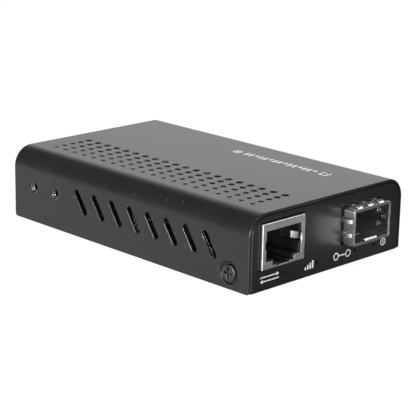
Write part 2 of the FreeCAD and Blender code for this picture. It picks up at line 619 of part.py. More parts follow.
def make_base_tray():
    """Folded tray: bottom, two end panels and two side flanges, with its cut-outs."""
    body = new_body("BaseTray")
    profile = sketch_on(body, "YZ")
    outline(profile, (FRONT, "0"), (FRONT, TRAY_TOP), (FRONT_INSIDE, TRAY_TOP), (FRONT_INSIDE, "TraySheet"),
            (REAR_INSIDE, "TraySheet"), (REAR_INSIDE, TRAY_TOP), (REAR, TRAY_TOP), (REAR, "0"))
    pad(body, profile, f"2 * {TRAY_SIDE}", both=True)
    round_edges(body, "TrayCorner", long_edges(body, "x", y=[FRONT], z=["0"]))
    round_edges(body, "TrayBend", long_edges(body, "x", y=[FRONT_INSIDE], z=["TraySheet"]))
    round_edges(body, "CoverBend - CoverSheet - PanelGap",
                long_edges(body, "y", x=[TRAY_SIDE], z=[TRAY_TOP]))

    slits = sketch_on(body, "XY")
    flange_end = f"({REAR_INSIDE} - CornerSlit)"
    for sign in SIDES.values():
        for end in (-1, 1):
            rectangle(slits, f"{sign} * ({FLANGE_INSIDE} - 2 * TrayBend)",
                      f"{sign} * ({TRAY_SIDE} + PanelGap)", f"{end} * {REAR_INSIDE}", f"{end} * {flange_end}")
    pocket(body, slits, "TraySheet + TrayBend", reverse=True)
    for sign in SIDES.values():
        flange = sketch_on(body, "XY")
        rectangle(flange, f"{sign} * {FLANGE_INSIDE}", f"{sign} * {TRAY_SIDE}", f"-{flange_end}", flange_end)
        pad(body, flange, "FlangeHeight")
    round_edges(body, "TrayCorner", long_edges(body, "y", x=[TRAY_SIDE], z=["0"]))
    round_edges(body, "TrayBend", long_edges(body, "y", x=[FLANGE_INSIDE], z=["TraySheet"]))

    front = sketch_on(body, "XZ", FRONT)
    jack_half = "(JackWidth / 2 + JackPanelGap)"
    cage_half = "(CollarWidth / 2 + SpringGap)"
    rectangle(front, f"{JACK_SIDE} - {jack_half}", f"{JACK_SIDE} + {jack_half}",
              f"{BOARD_TOP} - JackPanelGap", f"{BOARD_TOP} + {JACK_HEIGHT} + JackPanelGap")
    rectangle(front, f"{CAGE_SIDE} - {cage_half}", f"{CAGE_SIDE} + {cage_half}",
              f"{BOARD_TOP} + CageLift - SpringGap", f"{BOARD_TOP} + CageLift + CollarHeight + SpringGap")
    for across in LAMPS.values():
        circle(front, across, "LampUp", "LampHole")
    pocket(body, front, "2 * TraySheet")

    rear = sketch_on(body, "XZ", REAR_INSIDE)
    circle(rear, INLET_SIDE, f"{BOARD_TOP} + InletUp", "InletHole")
    for sign in SIDES.values():
        rectangle(rear, f"{sign} * {HOOK_SIDE} - HookWidth / 2 - HookSlotGap",
                  f"{sign} * {HOOK_SIDE} + HookWidth / 2 + HookSlotGap",
                  f"{COVER_UNDER} - HookDrop - HookSheet - HookSlotGap",
                  f"{COVER_UNDER} - HookDrop + HookSlotGap")
    pocket(body, rear, "2 * TraySheet")

    shanks = sketch_on(body, "XY")
    for across, along in BOARD_SCREWS:
        circle(shanks, across, along, "StandoffShank")
    pocket(body, shanks, "2 * TraySheet", reverse=True)

    for sign in SIDES.values():
        collar = sketch_on(body, "YZ", f"{sign} * ({FLANGE_INSIDE} - FlangeCollarReach)")
        circle(collar, COVER_SCREW_Y, "CoverScrewUp", "ThreadSize + 2 * FlangeCollar")
        pad(body, collar, "FlangeCollarReach + TraySheet / 2", reverse=sign < 0)
    threads = sketch_on(body, "YZ")
    circle(threads, COVER_SCREW_Y, "CoverScrewUp", "ThreadSize + ThreadFit")
    pocket(body, threads, both=True)
    node("base_tray", body)


def make_cover_hooks():
    """Two Z-shaped hooks, welded under the cover, whose tongues sit in slots of the rear panel."""
    body = new_body("CoverHook")
    leg_rear = f"({REAR_INSIDE} - HookStep)"
    leg_front = f"({leg_rear} - HookSheet)"
    tongue = f"({COVER_UNDER} - HookDrop)"
    side = sketch_on(body, "YZ", f"{HOOK_SIDE} - HookWidth / 2")
    outline(side, (f"{leg_front} - HookFoot", COVER_UNDER), (leg_rear, COVER_UNDER), (leg_rear, tongue),
            (REAR, tongue), (REAR, f"{tongue} - HookSheet"), (leg_front, f"{tongue} - HookSheet"),
            (leg_front, f"{COVER_UNDER} - HookSheet"),
            (f"{leg_front} - HookFoot", f"{COVER_UNDER} - HookSheet"))
    pad(body, side, "HookWidth")
    twin = copy_at(body, x=f"-2 * {HOOK_SIDE}")
    node("cover_hooks", group("CoverHooks", [body, twin]))


def pan_head_screw(name, head, head_height, length, recess_depth="RecessDepth"):
    """Cross-recessed pan-head screw with its seat at z = 0 and its head above."""
    body = new_body(name)
    pad(body, circle(sketch_on(body, "XY"), "0", "0", head), head_height)
    round_edges(body, f"0.45 * {head_height}", top_edges(body))
    shank = circle(sketch_on(body, "XY"), "0", "0", "ThreadSize")
    pad(body, shank, length, reverse=True)
    for wide, narrow in (("ThreadSize / 2", "RecessWidth / 2"), ("RecessWidth / 2", "ThreadSize / 2")):
        arm = sketch_on(body, "XY", head_height)
        rectangle(arm, f"-{wide}", wide, f"-{narrow}", narrow)
        pocket(body, arm, recess_depth)
    return body


def make_cover_screws():
    screw = pan_head_screw("CoverScrew", "CoverScrewHead", "CoverScrewHeadHeight", "CoverScrewLength",
                           "CoverRecessDepth")
    pair = [copy_at(screw, x=f"{sign} * {SCREW_SEAT}", y=COVER_SCREW_Y, z="CoverScrewUp",
                    turn=Rotation(Vector(0, 1, 0), sign * 90)) for sign in SIDES.values()]
    node("cover_screws", group("CoverScrews", pair))


# ---------------------------------------------------------------- board and its carriers

SCREW_SIDE = "(CaseWidth / 2 - BoardScrewFromSide)"
BESIDE_CAGE = f"(({CAGE_SIDE} + CollarWidth / 2 + {FLANGE_INSIDE}) / 2)"
SCREW_FRONT = f"({JACK_REAR} + BoardScrewBehindJack)"
SCREW_REAR = f"({REAR} - BoardScrewFromRear)"
BOARD_SCREWS = ((f"-{SCREW_SIDE}", SCREW_FRONT), (BESIDE_CAGE, SCREW_FRONT), (f"-{SCREW_SIDE}", SCREW_REAR),
                (SCREW_SIDE, SCREW_REAR))


def make_standoffs():
    barrel = cylinder("StandoffBody", "StandoffSize", "StandoffHeight", z="TraySheet")
    shank = cylinder("StandoffShankPart", "StandoffShank", "TraySheet - StandoffSink", z="StandoffSink")
    pillar = fuse("StandoffPillar", barrel, shank)
    bore = cylinder("StandoffBore", "ThreadSize + ThreadFit", "2 * StandoffHeight")
    standoff = cut("Standoff", pillar, bore)
    places = [copy_at(standoff, x=across, y=along) for across, along in BOARD_SCREWS]
    node("board_standoffs", group("BoardStandoffs", places))


def make_board_screws():
    screw = pan_head_screw("BoardScrew", "BoardScrewHead", "BoardScrewHeadHeight", "BoardScrewLength")
    places = [copy_at(screw, x=across, y=along, z=BOARD_TOP) for across, along in BOARD_SCREWS]
    node("board_screws", group("BoardScrews", places))


def make_circuit_board():
    """Board with its screw holes, the holes for every pin and a notch for each cover screw."""
    body = new_body("CircuitBoard")
    board = sketch_on(body, "XY", BOARD_UNDER)
    half = f"({FLANGE_INSIDE} - BoardSideGap)"
    rectangle(board, f"-{half}", half, f"{FRONT_INSIDE} + BoardFrontGap", f"{REAR_INSIDE} - BoardRearGap")
    pad(body, board, "BoardThick")

    notches = sketch_on(body, "XY", BOARD_UNDER)
    for sign in SIDES.values():
        rectangle(notches, f"{sign} * ({SCREW_SEAT} - CoverScrewLength - NotchGap)",
                  f"{sign} * CaseWidth / 2", f"{COVER_SCREW_Y} - NotchWidth / 2",
                  f"{COVER_SCREW_Y} + NotchWidth / 2")
    pocket(body, notches, reverse=True)

    round_holes = sketch_on(body, "XY", BOARD_UNDER)
    for across, along in BOARD_SCREWS:
        circle(round_holes, across, along, "ThreadSize + ScrewPass")
    for sign in SIDES.values():
        circle(round_holes, f"{JACK_SIDE} + {sign} * PegSpread / 2", f"{JACK_FRONT} + PegBack",
               "PegSize + PinFit")
    pocket(body, round_holes, reverse=True)

    wires = sketch_on(body, "XY", BOARD_UNDER)
    start = f"({JACK_SIDE} - (WireCount - 1) * WirePitch / 2)"
    rectangle(wires, f"{start} - (WireSize + PinFit) / 2", f"{start} + (WireSize + PinFit) / 2",
              f"{JACK_FRONT} + WireRear - PinFit / 2", f"{JACK_FRONT} + WireRear + WireSize + PinFit / 2")
    repeat(body, pocket(body, wires, reverse=True), wires, "H_Axis", "WireCount", "WirePitch")

    tails = sketch_on(body, "XY", BOARD_UNDER)
    for sign in SIDES.values():
        outer = f"{JACK_SIDE} + {sign} * (JackWidth / 2 + PinFit / 2)"
        inner = f"{JACK_SIDE} + {sign} * (JackWidth / 2 - JackSheet - PinFit / 2)"
        rectangle(tails, inner, outer, f"{JACK_FRONT} + TailBack - PinFit / 2",
                  f"{JACK_FRONT} + TailBack + TailWidth + PinFit / 2")
    for across, depth, wide, deep in inlet_terminals():
        rectangle(tails, f"{across} - ({wide} + PinFit) / 2", f"{across} + ({wide} + PinFit) / 2",
                  f"{depth} - PinFit / 2", f"{depth} + {deep} + PinFit / 2")
    pocket(body, tails, reverse=True)

    pins = sketch_on(body, "XY", BOARD_UNDER)
    for sign in SIDES.values():
        outer = f"{CAGE_SIDE} + {sign} * (CollarWidth / 2 - CollarSheet + PinFit / 2)"
        inner = f"{CAGE_SIDE} + {sign} * (CollarWidth / 2 - CollarSheet - CageSheet - PinFit / 2)"
        rectangle(pins, inner, outer, f"{CAGE_FRONT} + CagePinFirst - PinFit / 2",
                  f"{CAGE_FRONT} + CagePinFirst + CagePinSize + PinFit / 2")
    repeat(body, pocket(body, pins, reverse=True), pins, "V_Axis", "CagePinCount", "CagePinPitch")
    node("circuit_board", body)


# ---------------------------------------------------------------- copper port

BEND_30 = "(EarthBend * (1 - cos(30)))"


def make_rj45_shell():
    """Folded shield: five closed sides, the plug mouth, two board tails and two earthing fingers."""
    body = new_body("PortShield")
    bind(body, x=JACK_SIDE, y=JACK_FRONT, z=BOARD_TOP)
    half = "(JackWidth / 2)"
    pad(body, rectangle(sketch_on(body, "XY"), f"-{half}", half, "0", "JackDepth"), JACK_HEIGHT)
    inside = rectangle(sketch_on(body, "XY"), f"-{half} + JackSheet", f"{half} - JackSheet", "JackSheet",
                       "JackDepth - JackSheet")
    pocket(body, inside, f"{JACK_HEIGHT} - JackSheet", reverse=True)
    mouth = sketch_on(body, "XZ")
    outline(mouth, *stepped_mouth("0", "0", "0"))
    pocket(body, mouth, "JackSheet")
    notches = sketch_on(body, "XY", "EarthUp - EarthWidth / 2")
    for sign in SIDES.values():
        rectangle(notches, "0", f"{sign} * (MouthWidth / 2 + EarthBend)", "0", "JackSheet")
    pocket(body, notches, "EarthWidth", reverse=True)
    for sign in SIDES.values():
        tail = sketch_on(body, "YZ", f"{sign} * ({half} - JackSheet)")
        rectangle(tail, "TailBack", "TailBack + TailWidth", f"-{PIN_DROP}", "JackSheet")
        pad(body, tail, "JackSheet", reverse=sign < 0)
    for sign in SIDES.values():
        edge = "MouthWidth / 2"
        finger = sketch_on(body, "XY", "EarthUp - EarthWidth / 2")
        outline(finger, (f"{sign} * ({edge} + EarthBend)", "0"),
                (f"{sign} * ({edge} + EarthBend / 2)", BEND_30),
                (f"{sign} * ({edge} + {BEND_30})", "EarthBend / 2"), (f"{sign} * {edge}", "EarthBend"),
                (f"{sign} * {edge}", "EarthRoot"), (f"{sign} * ({edge} - EarthBow)", "EarthCrest"),
                (f"{sign} * ({edge} - EarthTip)", "EarthLength"),
                (f"{sign} * ({edge} - EarthTip + JackSheet)", "EarthLength"),
                (f"{sign} * ({edge} - EarthBow + JackSheet)", "EarthCrest + JackSheet / 3"),
                (f"{sign} * ({edge} + JackSheet)", "EarthRoot + JackSheet / 3"),
                (f"{sign} * ({edge} + JackSheet)", "EarthBend"),
                (f"{sign} * ({edge} + EarthBend)", "JackSheet"))
        pad(body, finger, "EarthWidth")
    node("rj45_shell", body)


def stepped_mouth(side, above, step):
    """Corners of the plug mouth with its two latch steps, drawn in by a lip at the sides and above."""
    plug = f"(MouthWidth / 2 - {side})"
    latch = f"(LatchWidth / 2 - {side})"
    key = f"(KeyWidth / 2 - {side})"
    low = f"(MouthLow + {above})"
    latch_low = f"(LatchLow + {step})"
    key_low = f"(KeyLow + {step})"
    high = f"({MOUTH_HIGH} - {above})"
    return ((f"-{plug}", low), (f"-{latch}", low), (f"-{latch}", latch_low), (f"-{key}", latch_low),
            (f"-{key}", key_low), (key, key_low), (key, latch_low), (latch, latch_low), (latch, low),
            (plug, low), (plug, high), (f"-{plug}", high))


def make_rj45_housing():
    """Moulded insert: plug space with latch steps, finger windows, a channel for the wires and two pegs."""
    body = new_body("PortInsert")
    bind(body, x=JACK_SIDE, y=JACK_FRONT, z=BOARD_TOP)
    half = "(JackWidth / 2 - JackSheet - InsertFit)"
    face = "(JackSheet + InsertFit)"
    block = rectangle(sketch_on(body, "XY"), f"-{half}", half, face, "JackDepth - JackSheet - InsertFit")
    pad(body, block, f"{JACK_HEIGHT} - JackSheet - InsertFit")
    space = sketch_on(body, "XZ", face)
    outline(space, *stepped_mouth("InsertLip", "InsertRim", "InsertRim"))
    pocket(body, space, f"PlugDepth - {face}")
    windows = sketch_on(body, "XY", "EarthUp - EarthWidth / 2 - EarthWindow")
    for sign in SIDES.values():
        rectangle(windows, f"{sign} * (MouthWidth / 2 - EarthBow - EarthWindow)", f"{sign} * {half}", face,
                  "EarthLength + EarthWindow")
    pocket(body, windows, "EarthWidth + 2 * EarthWindow", reverse=True)
    wide = "((WireCount - 1) * WirePitch / 2 + WireSize / 2 + InsertFit)"
    ceiling = sketch_on(body, "XY", INSERT_CEILING)
    rectangle(ceiling, f"-{wide}", wide, "WireFront - WireSize", "WireRear + WireSize + InsertFit")
    pocket(body, ceiling, "WireSlot", reverse=True)
    shaft = rectangle(sketch_on(body, "XY"), f"-{wide}", wide, "WireRear - InsertFit",
                      "WireRear + WireSize + InsertFit")
    pocket(body, shaft, INSERT_CEILING, reverse=True)
    pegs = sketch_on(body, "XY")
    for sign in SIDES.values():
        circle(pegs, f"{sign} * PegSpread / 2", "PegBack", "PegSize")
    pad(body, pegs, "PegReach", reverse=True)
    node("rj45_housing", body)


def make_rj45_contacts():
    """Eight spring wires: a tail through the board, a run along the ceiling and a sloping free end."""
    body = new_body("PortWire")
    low = f"({INSERT_CEILING} + InsertFit)"
    high = f"({low} + WireSize)"
    side = sketch_on(body, "YZ", "-WireSize / 2")
    outline(side, ("WireRear + WireSize", f"-{PIN_DROP}"), ("WireRear + WireSize", high), ("WireFront", high),
            ("WireFront", low), ("WireFront + WireSlope", f"{low} - WireDip"),
            ("WireFront + WireSlope + WireSize", f"{low} - WireDip + WireSize / 2"),
            ("WireFront + 2 * WireSize", low), ("WireRear", low), ("WireRear", f"-{PIN_DROP}"))
    pad(body, side, "WireSize")
    wires = [copy_at(body, x=f"{JACK_SIDE} + ({index} - (WireCount - 1) / 2) * WirePitch", y=JACK_FRONT,
                     z=BOARD_TOP) for index in range(count("WireCount"))]
    node("rj45_contacts", group("PortWires", wires))


# ---------------------------------------------------------------- fibre port

def at_cage_mouth(body):
    """Put a piece of the fibre port in place: its own origin is under the middle of the cage mouth."""
    return bind(body, x=CAGE_SIDE, y=CAGE_FRONT, z=f"{BOARD_TOP} + CageLift")


def make_sfp_cage():
    """Folded cage: closed rear, latch tongue, windows, leaf springs and shouldered press pins."""
    body = at_cage_mouth(new_body("FibreCage"))
    half = "(CollarWidth / 2 - CollarSheet)"
    low = "CollarSheet"
    floor = "(CollarSheet + CageSheet)"
    high = "(CollarHeight - CollarSheet)"
    rear_inside = "(CageLength - CageSheet)"
    pad(body, rectangle(sketch_on(body, "XZ"), f"-{half}", half, low, high), "CageLength", reverse=True)
    round_edges(body, "CageCorner - CollarSheet", long_edges(body, "y", x=[half]))
    bore = rectangle(sketch_on(body, "XZ"), f"-{half} + CageSheet", f"{half} - CageSheet", floor,
                     f"{high} - CageSheet")
    pocket(body, bore, rear_inside)

    openings = sketch_on(body, "XY", low)
    rectangle(openings, "-CageMouthFloor / 2", "CageMouthFloor / 2", f"{rear_inside} - CageMouthLength",
              rear_inside)
    slit_side = "(TongueWidth / 2 + TongueSlit)"
    rectangle(openings, f"-{slit_side}", slit_side, "0", "TongueLength")
    pocket(body, openings, "CageSheet", reverse=True)
    tongue = sketch_on(body, "YZ")
    outline(tongue, ("0", low), ("0", floor), ("TongueLip", f"{floor} + TongueRise"),
            ("TongueLength + CageSheet", floor), ("TongueLength + CageSheet", low),
            ("TongueLip", f"{low} + TongueRise"))
    pad(body, tongue, "TongueWidth", both=True)
    latch = sketch_on(body, "XY", low)
    outline(latch, ("0", "LatchHoleBack"), ("LatchHoleWidth / 2", "LatchHoleBack + LatchHoleLength"),
            ("-LatchHoleWidth / 2", "LatchHoleBack + LatchHoleLength"))
    pocket(body, latch, "CageSheet + TongueRise", reverse=True)

    top_windows = sketch_on(body, "XY", f"{high} - 2 * CageSheet")
    rectangle(top_windows, f"{FIRST_TOP_SPRING} - TopSpringWidth / 2",
              f"{FIRST_TOP_SPRING} + TopSpringWidth / 2", "CollarRim + SpringWindow", "CollarReach")
    first_top = pocket(body, top_windows, reverse=True)
    repeat(body, first_top, top_windows, "H_Axis", "TopSpringCount", "TopSpringPitch")
    side_windows = sketch_on(body, "YZ")
    rectangle(side_windows, "CollarRim + SpringWindow", "CollarReach", "SideSpringUp - SideSpringWidth / 2",
              "SideSpringUp + SideSpringWidth / 2")
    side_cut = pocket(body, side_windows, both=True)
    repeat(body, side_cut, side_windows, "V_Axis", "SideSpringCount", "SideSpringPitch")

    leaf_windows = sketch_on(body, "YZ")
    rectangle(leaf_windows, "LeafFront - LeafGap", "LeafRear - CageSheet",
              "LeafUp - LeafHeight / 2 - LeafGap", "LeafUp + LeafHeight / 2 + LeafGap")
    pocket(body, leaf_windows, both=True)
    leaves = sketch_on(body, "XY", "LeafUp")
    for sign in SIDES.values():
        wall = f"{sign} * {half}"
        inner = f"{sign} * ({half} - CageSheet)"
        outline(leaves, (wall, "LeafRear"), (inner, "LeafRear"), (f"{inner} - {sign} * LeafBow", "LeafFront"),
                (f"{wall} - {sign} * LeafBow", "LeafFront"), (wall, "LeafRear - 2 * CageSheet"))
    pad(body, leaves, "LeafHeight", both=True)

    pin_start = "CagePinFirst"
    pin_end = "CagePinFirst + CagePinSize"
    pin_foot = f"-CageLift - {PIN_DROP}"
    for sign in SIDES.values():
        pins = sketch_on(body, "YZ", f"{sign} * ({half} - CageSheet)")
        outline(pins, (f"{pin_start} - CagePinShoulder", floor),
                (f"{pin_start} - CagePinShoulder", "-CageLift"), (pin_start, "-CageLift"),
                (pin_start, pin_foot), (pin_end, pin_foot), (pin_end, "-CageLift"),
                (f"{pin_end} + CagePinShoulder", "-CageLift"), (f"{pin_end} + CagePinShoulder", floor))
        first = pad(body, pins, "CageSheet", reverse=sign < 0)
        repeat(body, first, pins, "H_Axis", "CagePinCount", "CagePinPitch")
    node("sfp_cage", body)


FIRST_TOP_SPRING = "(-(TopSpringCount - 1) * TopSpringPitch / 2)"


def spring_profile(base, outward):
    """Corners of a bowed spring finger: (along the cage, outward) from the rim to the tip."""
    start = "(CollarRim - SpringRoot)"
    crown = "(CollarRim + SpringCrown)"
    shoulder = "(CollarRim + SpringCrown / 3)"
    tip = "(CollarRim + SpringTip)"
    skin = ((start, "0"), (shoulder, "0.75 * SpringBow"), (crown, "SpringBow"), (tip, "SpringTipUp"))
    outer = [(along, f"{base} + {outward} * ({up})") for along, up in skin]
    inner = [(along, f"{base} + {outward} * ({up} - CollarSheet)") for along, up in reversed(skin)]
    return outer + inner


def make_sfp_spring_collar():
    """Sprung earthing collar round the cage mouth, its fingers bowed out to meet the panel's cut-out."""
    body = at_cage_mouth(new_body("SpringCollar"))
    half = "(CollarWidth / 2)"
    tube = rectangle(sketch_on(body, "XZ"), f"-{half}", half, "0", "CollarHeight")
    pad(body, tube, "CollarReach", reverse=True)
    round_edges(body, "CageCorner", long_edges(body, "y", x=[half]))
    bore = rectangle(sketch_on(body, "XZ"), f"-{half} + CollarSheet", f"{half} - CollarSheet", "CollarSheet",
                     "CollarHeight - CollarSheet")
    pocket(body, bore)
    top = sketch_on(body, "XY")
    wide = "(TopSpringWidth / 2 + SpringWindow)"
    rectangle(top, f"{FIRST_TOP_SPRING} - {wide}", f"{FIRST_TOP_SPRING} + {wide}", "CollarRim",
              "CollarReach + CollarRim")
    repeat(body, pocket(body, top, both=True), top, "H_Axis", "TopSpringCount", "TopSpringPitch")
    side = sketch_on(body, "YZ")
    tall = "(SideSpringWidth / 2 + SpringWindow)"
    rectangle(side, "CollarRim", "CollarReach + CollarRim", f"SideSpringUp - {tall}",
              f"SideSpringUp + {tall}")
    repeat(body, pocket(body, side, both=True), side, "V_Axis", "SideSpringCount", "SideSpringPitch")

    upright = sketch_on(body, "YZ", FIRST_TOP_SPRING)
    outline(upright, *spring_profile("CollarHeight", 1))
    outline(upright, *spring_profile("0", -1))
    repeat(body, pad(body, upright, "TopSpringWidth", both=True), upright, "N_Axis", "TopSpringCount",
           "TopSpringPitch")
    slit = sketch_on(body, "XY")
    rectangle(slit, f"{FIRST_TOP_SPRING} - SpringSplit / 2", f"{FIRST_TOP_SPRING} + SpringSplit / 2",
              "CollarRim + SpringCrown / 3", "CollarRim + 2 * SpringTip / 3")
    repeat(body, pocket(body, slit, both=True), slit, "H_Axis", "TopSpringCount", "TopSpringPitch")
    level = sketch_on(body, "XY", "SideSpringUp")
    for sign in SIDES.values():
        corners = spring_profile(f"{sign} * {half}", sign)
        outline(level, *[(out, along) for along, out in corners])
    repeat(body, pad(body, level, "SideSpringWidth", both=True), level, "N_Axis", "SideSpringCount",
           "SideSpringPitch")
    node("sfp_spring_collar", body)


CONNECTOR_FRONT = f"({CAGE_REAR} - CageSheet - ConnectorBack - ConnectorDepth)"
FIRST_EDGE = "(-(EdgeCount - 1) * EdgePitch / 2)"


def make_sfp_connector():
    """Edge connector at the rear of the cage, and its two rows of contacts."""
    body = new_body("EdgeConnector")
    bind(body, x=CAGE_SIDE, y=CONNECTOR_FRONT, z=BOARD_TOP)
    half = "ConnectorWidth / 2"
    pad(body, rectangle(sketch_on(body, "XY"), f"-{half}", half, "0", "ConnectorDepth"), "ConnectorHeight")
    card = rectangle(sketch_on(body, "XZ"), "-CardSlotWidth / 2", "CardSlotWidth / 2", "CardSlotUp",
                     "CardSlotUp + CardSlotHeight")
    pocket(body, card, "CardSlotDepth")
    grooves = sketch_on(body, "XY")
    wide = "(EdgeWidth / 2 + EdgeGroove)"
    deep = "(EdgeSheet + EdgeGroove)"
    for near, far in (("0", deep), (f"ConnectorDepth - {deep}", "ConnectorDepth")):
        rectangle(grooves, f"{FIRST_EDGE} - {wide}", f"{FIRST_EDGE} + {wide}", near, far)
    first = pocket(body, grooves, "EdgeHeight + EdgeGroove", reverse=True)
    repeat(body, first, grooves, "H_Axis", "EdgeCount", "EdgePitch")
    node("sfp_connector_body", body)

    contacts = []
    for name, face, toward in (("FrontEdgeContact", "0", 1), ("RearEdgeContact", "ConnectorDepth", -1)):
        contact = new_body(name)
        side = sketch_on(contact, "YZ", "-EdgeWidth / 2")
        inner = f"{face} + {toward} * EdgeSheet"
        outer = f"{face} - {toward} * EdgeFoot"
        outline(side, (inner, "0"), (inner, "EdgeHeight"), (face, "EdgeHeight"), (face, "EdgeSheet"),
                (outer, "EdgeSheet"), (outer, "0"))
        pad(contact, side, "EdgeWidth")
        for index in range(count("EdgeCount")):
            contacts.append(copy_at(contact, x=f"{CAGE_SIDE} + {FIRST_EDGE} + {index} * EdgePitch",
                                    y=CONNECTOR_FRONT, z=BOARD_TOP))
    node("sfp_connector_contacts", group("EdgeContacts", contacts))


# ---------------------------------------------------------------- lamps and DC inlet

def make_status_leds():
    """Four side-looking lamps under the front edge of the board, each behind its hole."""
    front = f"({FRONT_INSIDE} + LampGap)"
    lamps = []
    for lamp, across in LAMPS.items():
        base = box(f"LampBase{lamp}", f"{across} - LampWidth / 2", f"{across} + LampWidth / 2", front,
                   f"{front} + LampDepth", f"{BOARD_UNDER} - LampBase", BOARD_UNDER)
        lens = cylinder(f"LampLens{lamp}", "LampLens", "LampReach + LampDepth / 2", x=across,
                        y=f"{front} - LampReach", z="LampUp", axis="y")
        lamps.append(fuse(f"Lamp{lamp}", base, lens))
    node("status_leds", group("StatusLamps", lamps))


def inlet_terminals():
    """Where the inlet's two terminals pass the board: middle, front edge, width and depth."""
    pin_plate = f"{INLET_FRONT} - InletDepth - InletTerminalSheet"
    spring_tail = f"{INLET_FRONT} - InletSpringBack"
    return [(INLET_SIDE, front, "InletTerminal", "InletTerminalSheet") for front in (pin_plate, spring_tail)]


def make_dc_jack():
    """DC inlet: moulded body, centre pin and the spring that meets the plug's sleeve."""
    across, rear = INLET_SIDE, f"({INLET_FRONT} - InletDepth)"
    axis = f"({BOARD_TOP} + InletUp)"
    left, right = f"{across} - InletWidth / 2", f"{across} + InletWidth / 2"
    front_block = box("InletFrontBlock", left, right, f"{INLET_FRONT} - InletFront", INLET_FRONT, BOARD_TOP,
                      f"{BOARD_TOP} + InletHeight")
    rear_block = box("InletRearBlock", left, right, rear, f"{INLET_FRONT} - InletFront", BOARD_TOP,
                     f"{BOARD_TOP} + InletBack")
    bore = cylinder("InletBoreTool", "InletBore", "InletBoreDepth", x=across,
                    y=f"{INLET_FRONT} - InletBoreDepth", z=axis, axis="y")
    pin_hole = cylinder("InletPinHole", "InletPin + InletPinFit", "InletDepth", x=across, y=rear, z=axis,
                        axis="y")
    side = "(InletTerminal / 2 + InletSpringGap)"
    spring_low = f"({axis} - InletBore / 2 - InletSpringSheet - InletSpringGap)"
    groove = box("InletGroove", f"{across} - {side}", f"{across} + {side}", f"{INLET_FRONT} - InletBoreDepth",
                 f"{INLET_FRONT} - InletSpringFront + InletSpringGap", f"{spring_low} - InletSpringGap", axis)
    slot = box("InletSlot", f"{across} - {side}", f"{across} + {side}",
               f"{INLET_FRONT} - InletSpringBack - InletSpringGap",
               f"{INLET_FRONT} - InletSpringBack + InletTerminalSheet + InletSpringGap", BOARD_TOP,
               spring_low)
    hollow = fuse("InletHollow", bore, pin_hole, groove, slot)
    node("dc_jack_body", cut("InletBody", fuse("InletBlock", front_block, rear_block), hollow))

    plate_left, plate_right = f"{across} - InletTerminal / 2", f"{across} + InletTerminal / 2"
    pin = cylinder("InletPinRod", "InletPin", "InletDepth - InletPinBack", x=across, y=rear, z=axis, axis="y")
    plate = box("InletPinPlate", plate_left, plate_right, f"{rear} - InletTerminalSheet", rear,
                f"{BOARD_TOP} - {PIN_DROP}", f"{axis} + InletTerminal / 2")
    node("dc_jack_pin", fuse("InletPinPiece", pin, plate))

    strip = box("InletSpringStrip", plate_left, plate_right,
                f"{INLET_FRONT} - InletBoreDepth + InletSpringGap", f"{INLET_FRONT} - InletSpringFront",
                spring_low, f"{spring_low} + InletSpringSheet")
    tail = box("InletSpringTail", plate_left, plate_right, f"{INLET_FRONT} - InletSpringBack",
               f"{INLET_FRONT} - InletSpringBack + InletTerminalSheet", f"{BOARD_TOP} - {PIN_DROP}",
               f"{spring_low} + InletSpringSheet")
    node("dc_jack_spring", fuse("InletSpring", strip, tail))


# ---------------------------------------------------------------- parts on the board

def gull_wing(half, height):
    """Corners of a bent chip lead on the positive side: out of the body, down, and a flat foot."""
    knee = f"({half} + LeadReach - LeadFoot)"
    middle = f"({height} / 2)"
    return ((f"{half} - LeadSheet", f"{middle} + LeadSheet"), (knee, f"{middle} + LeadSheet"),
            (knee, "LeadSheet"), (f"{half} + LeadReach", "LeadSheet"), (f"{half} + LeadReach", "0"),
            (f"{knee} - LeadSheet", "0"), (f"{knee} - LeadSheet", middle), (f"{half} - LeadSheet", middle))


def make_chip(label, name, length, width, height, leads, pitch, lead, across, along, four_sides=False):
    """Moulded chip on bent leads, at two sides or at all four."""
    body = new_body(name)
    bind(body, x=across, y=along, z=BOARD_TOP)
    block = rectangle(sketch_on(body, "XY", "ChipFloat"), f"-({length}) / 2", f"({length}) / 2",
                      f"-({width}) / 2", f"({width}) / 2")
    pad(body, block, f"({height}) - ChipFloat")
    rows = [("YZ", f"(({width}) / 2)", -1)]
    if four_sides:
        rows.append(("XZ", f"(({length}) / 2)", 1))
    for plane, half, end in rows:
        side = sketch_on(body, plane, f"{end} * (({leads}) - 1) * ({pitch}) / 2")
        for sign in SIDES.values():
            outline(side, *[(f"{sign} * ({out})", up) for out, up in gull_wing(half, height)])
        first = pad(body, side, lead, both=True)
        repeat(body, first, side, "N_Axis", leads, pitch)
    node(label, body)


def make_chips():
    make_chip("magnetics_module", "Magnetics", "MagneticsLength", "MagneticsWidth", "MagneticsHeight",
              "MagneticsLeads", "WidePitch", "WideLead", JACK_SIDE,
              f"{JACK_REAR} + MagneticsBack")
    make_chip("converter_chip", "Converter", "ChipSize", "ChipSize", "ChipHeight", "ChipLeads", "FinePitch",
              "FineLead", CHIP_SIDE, CHIP_AT, four_sides=True)
    make_chip("memory_chip", "Memory", "MemoryLength", "MemoryWidth", "MemoryHeight", "MemoryLeads",
              "WidePitch", "WideLead", MEMORY_SIDE, MEMORY_AT)
    make_chip("regulator_chip", "Regulator", "MemoryLength", "MemoryWidth", "MemoryHeight", "MemoryLeads",
              "WidePitch", "WideLead", "RegulatorSide", REGULATOR_AT)
    make_chip("input_diode", "InputDiode", "DiodeWidth", "DiodeLength", "DiodeHeight", "1", "WidePitch",
              "DiodeWidth / 2", INLET_SIDE, DIODE_AT)


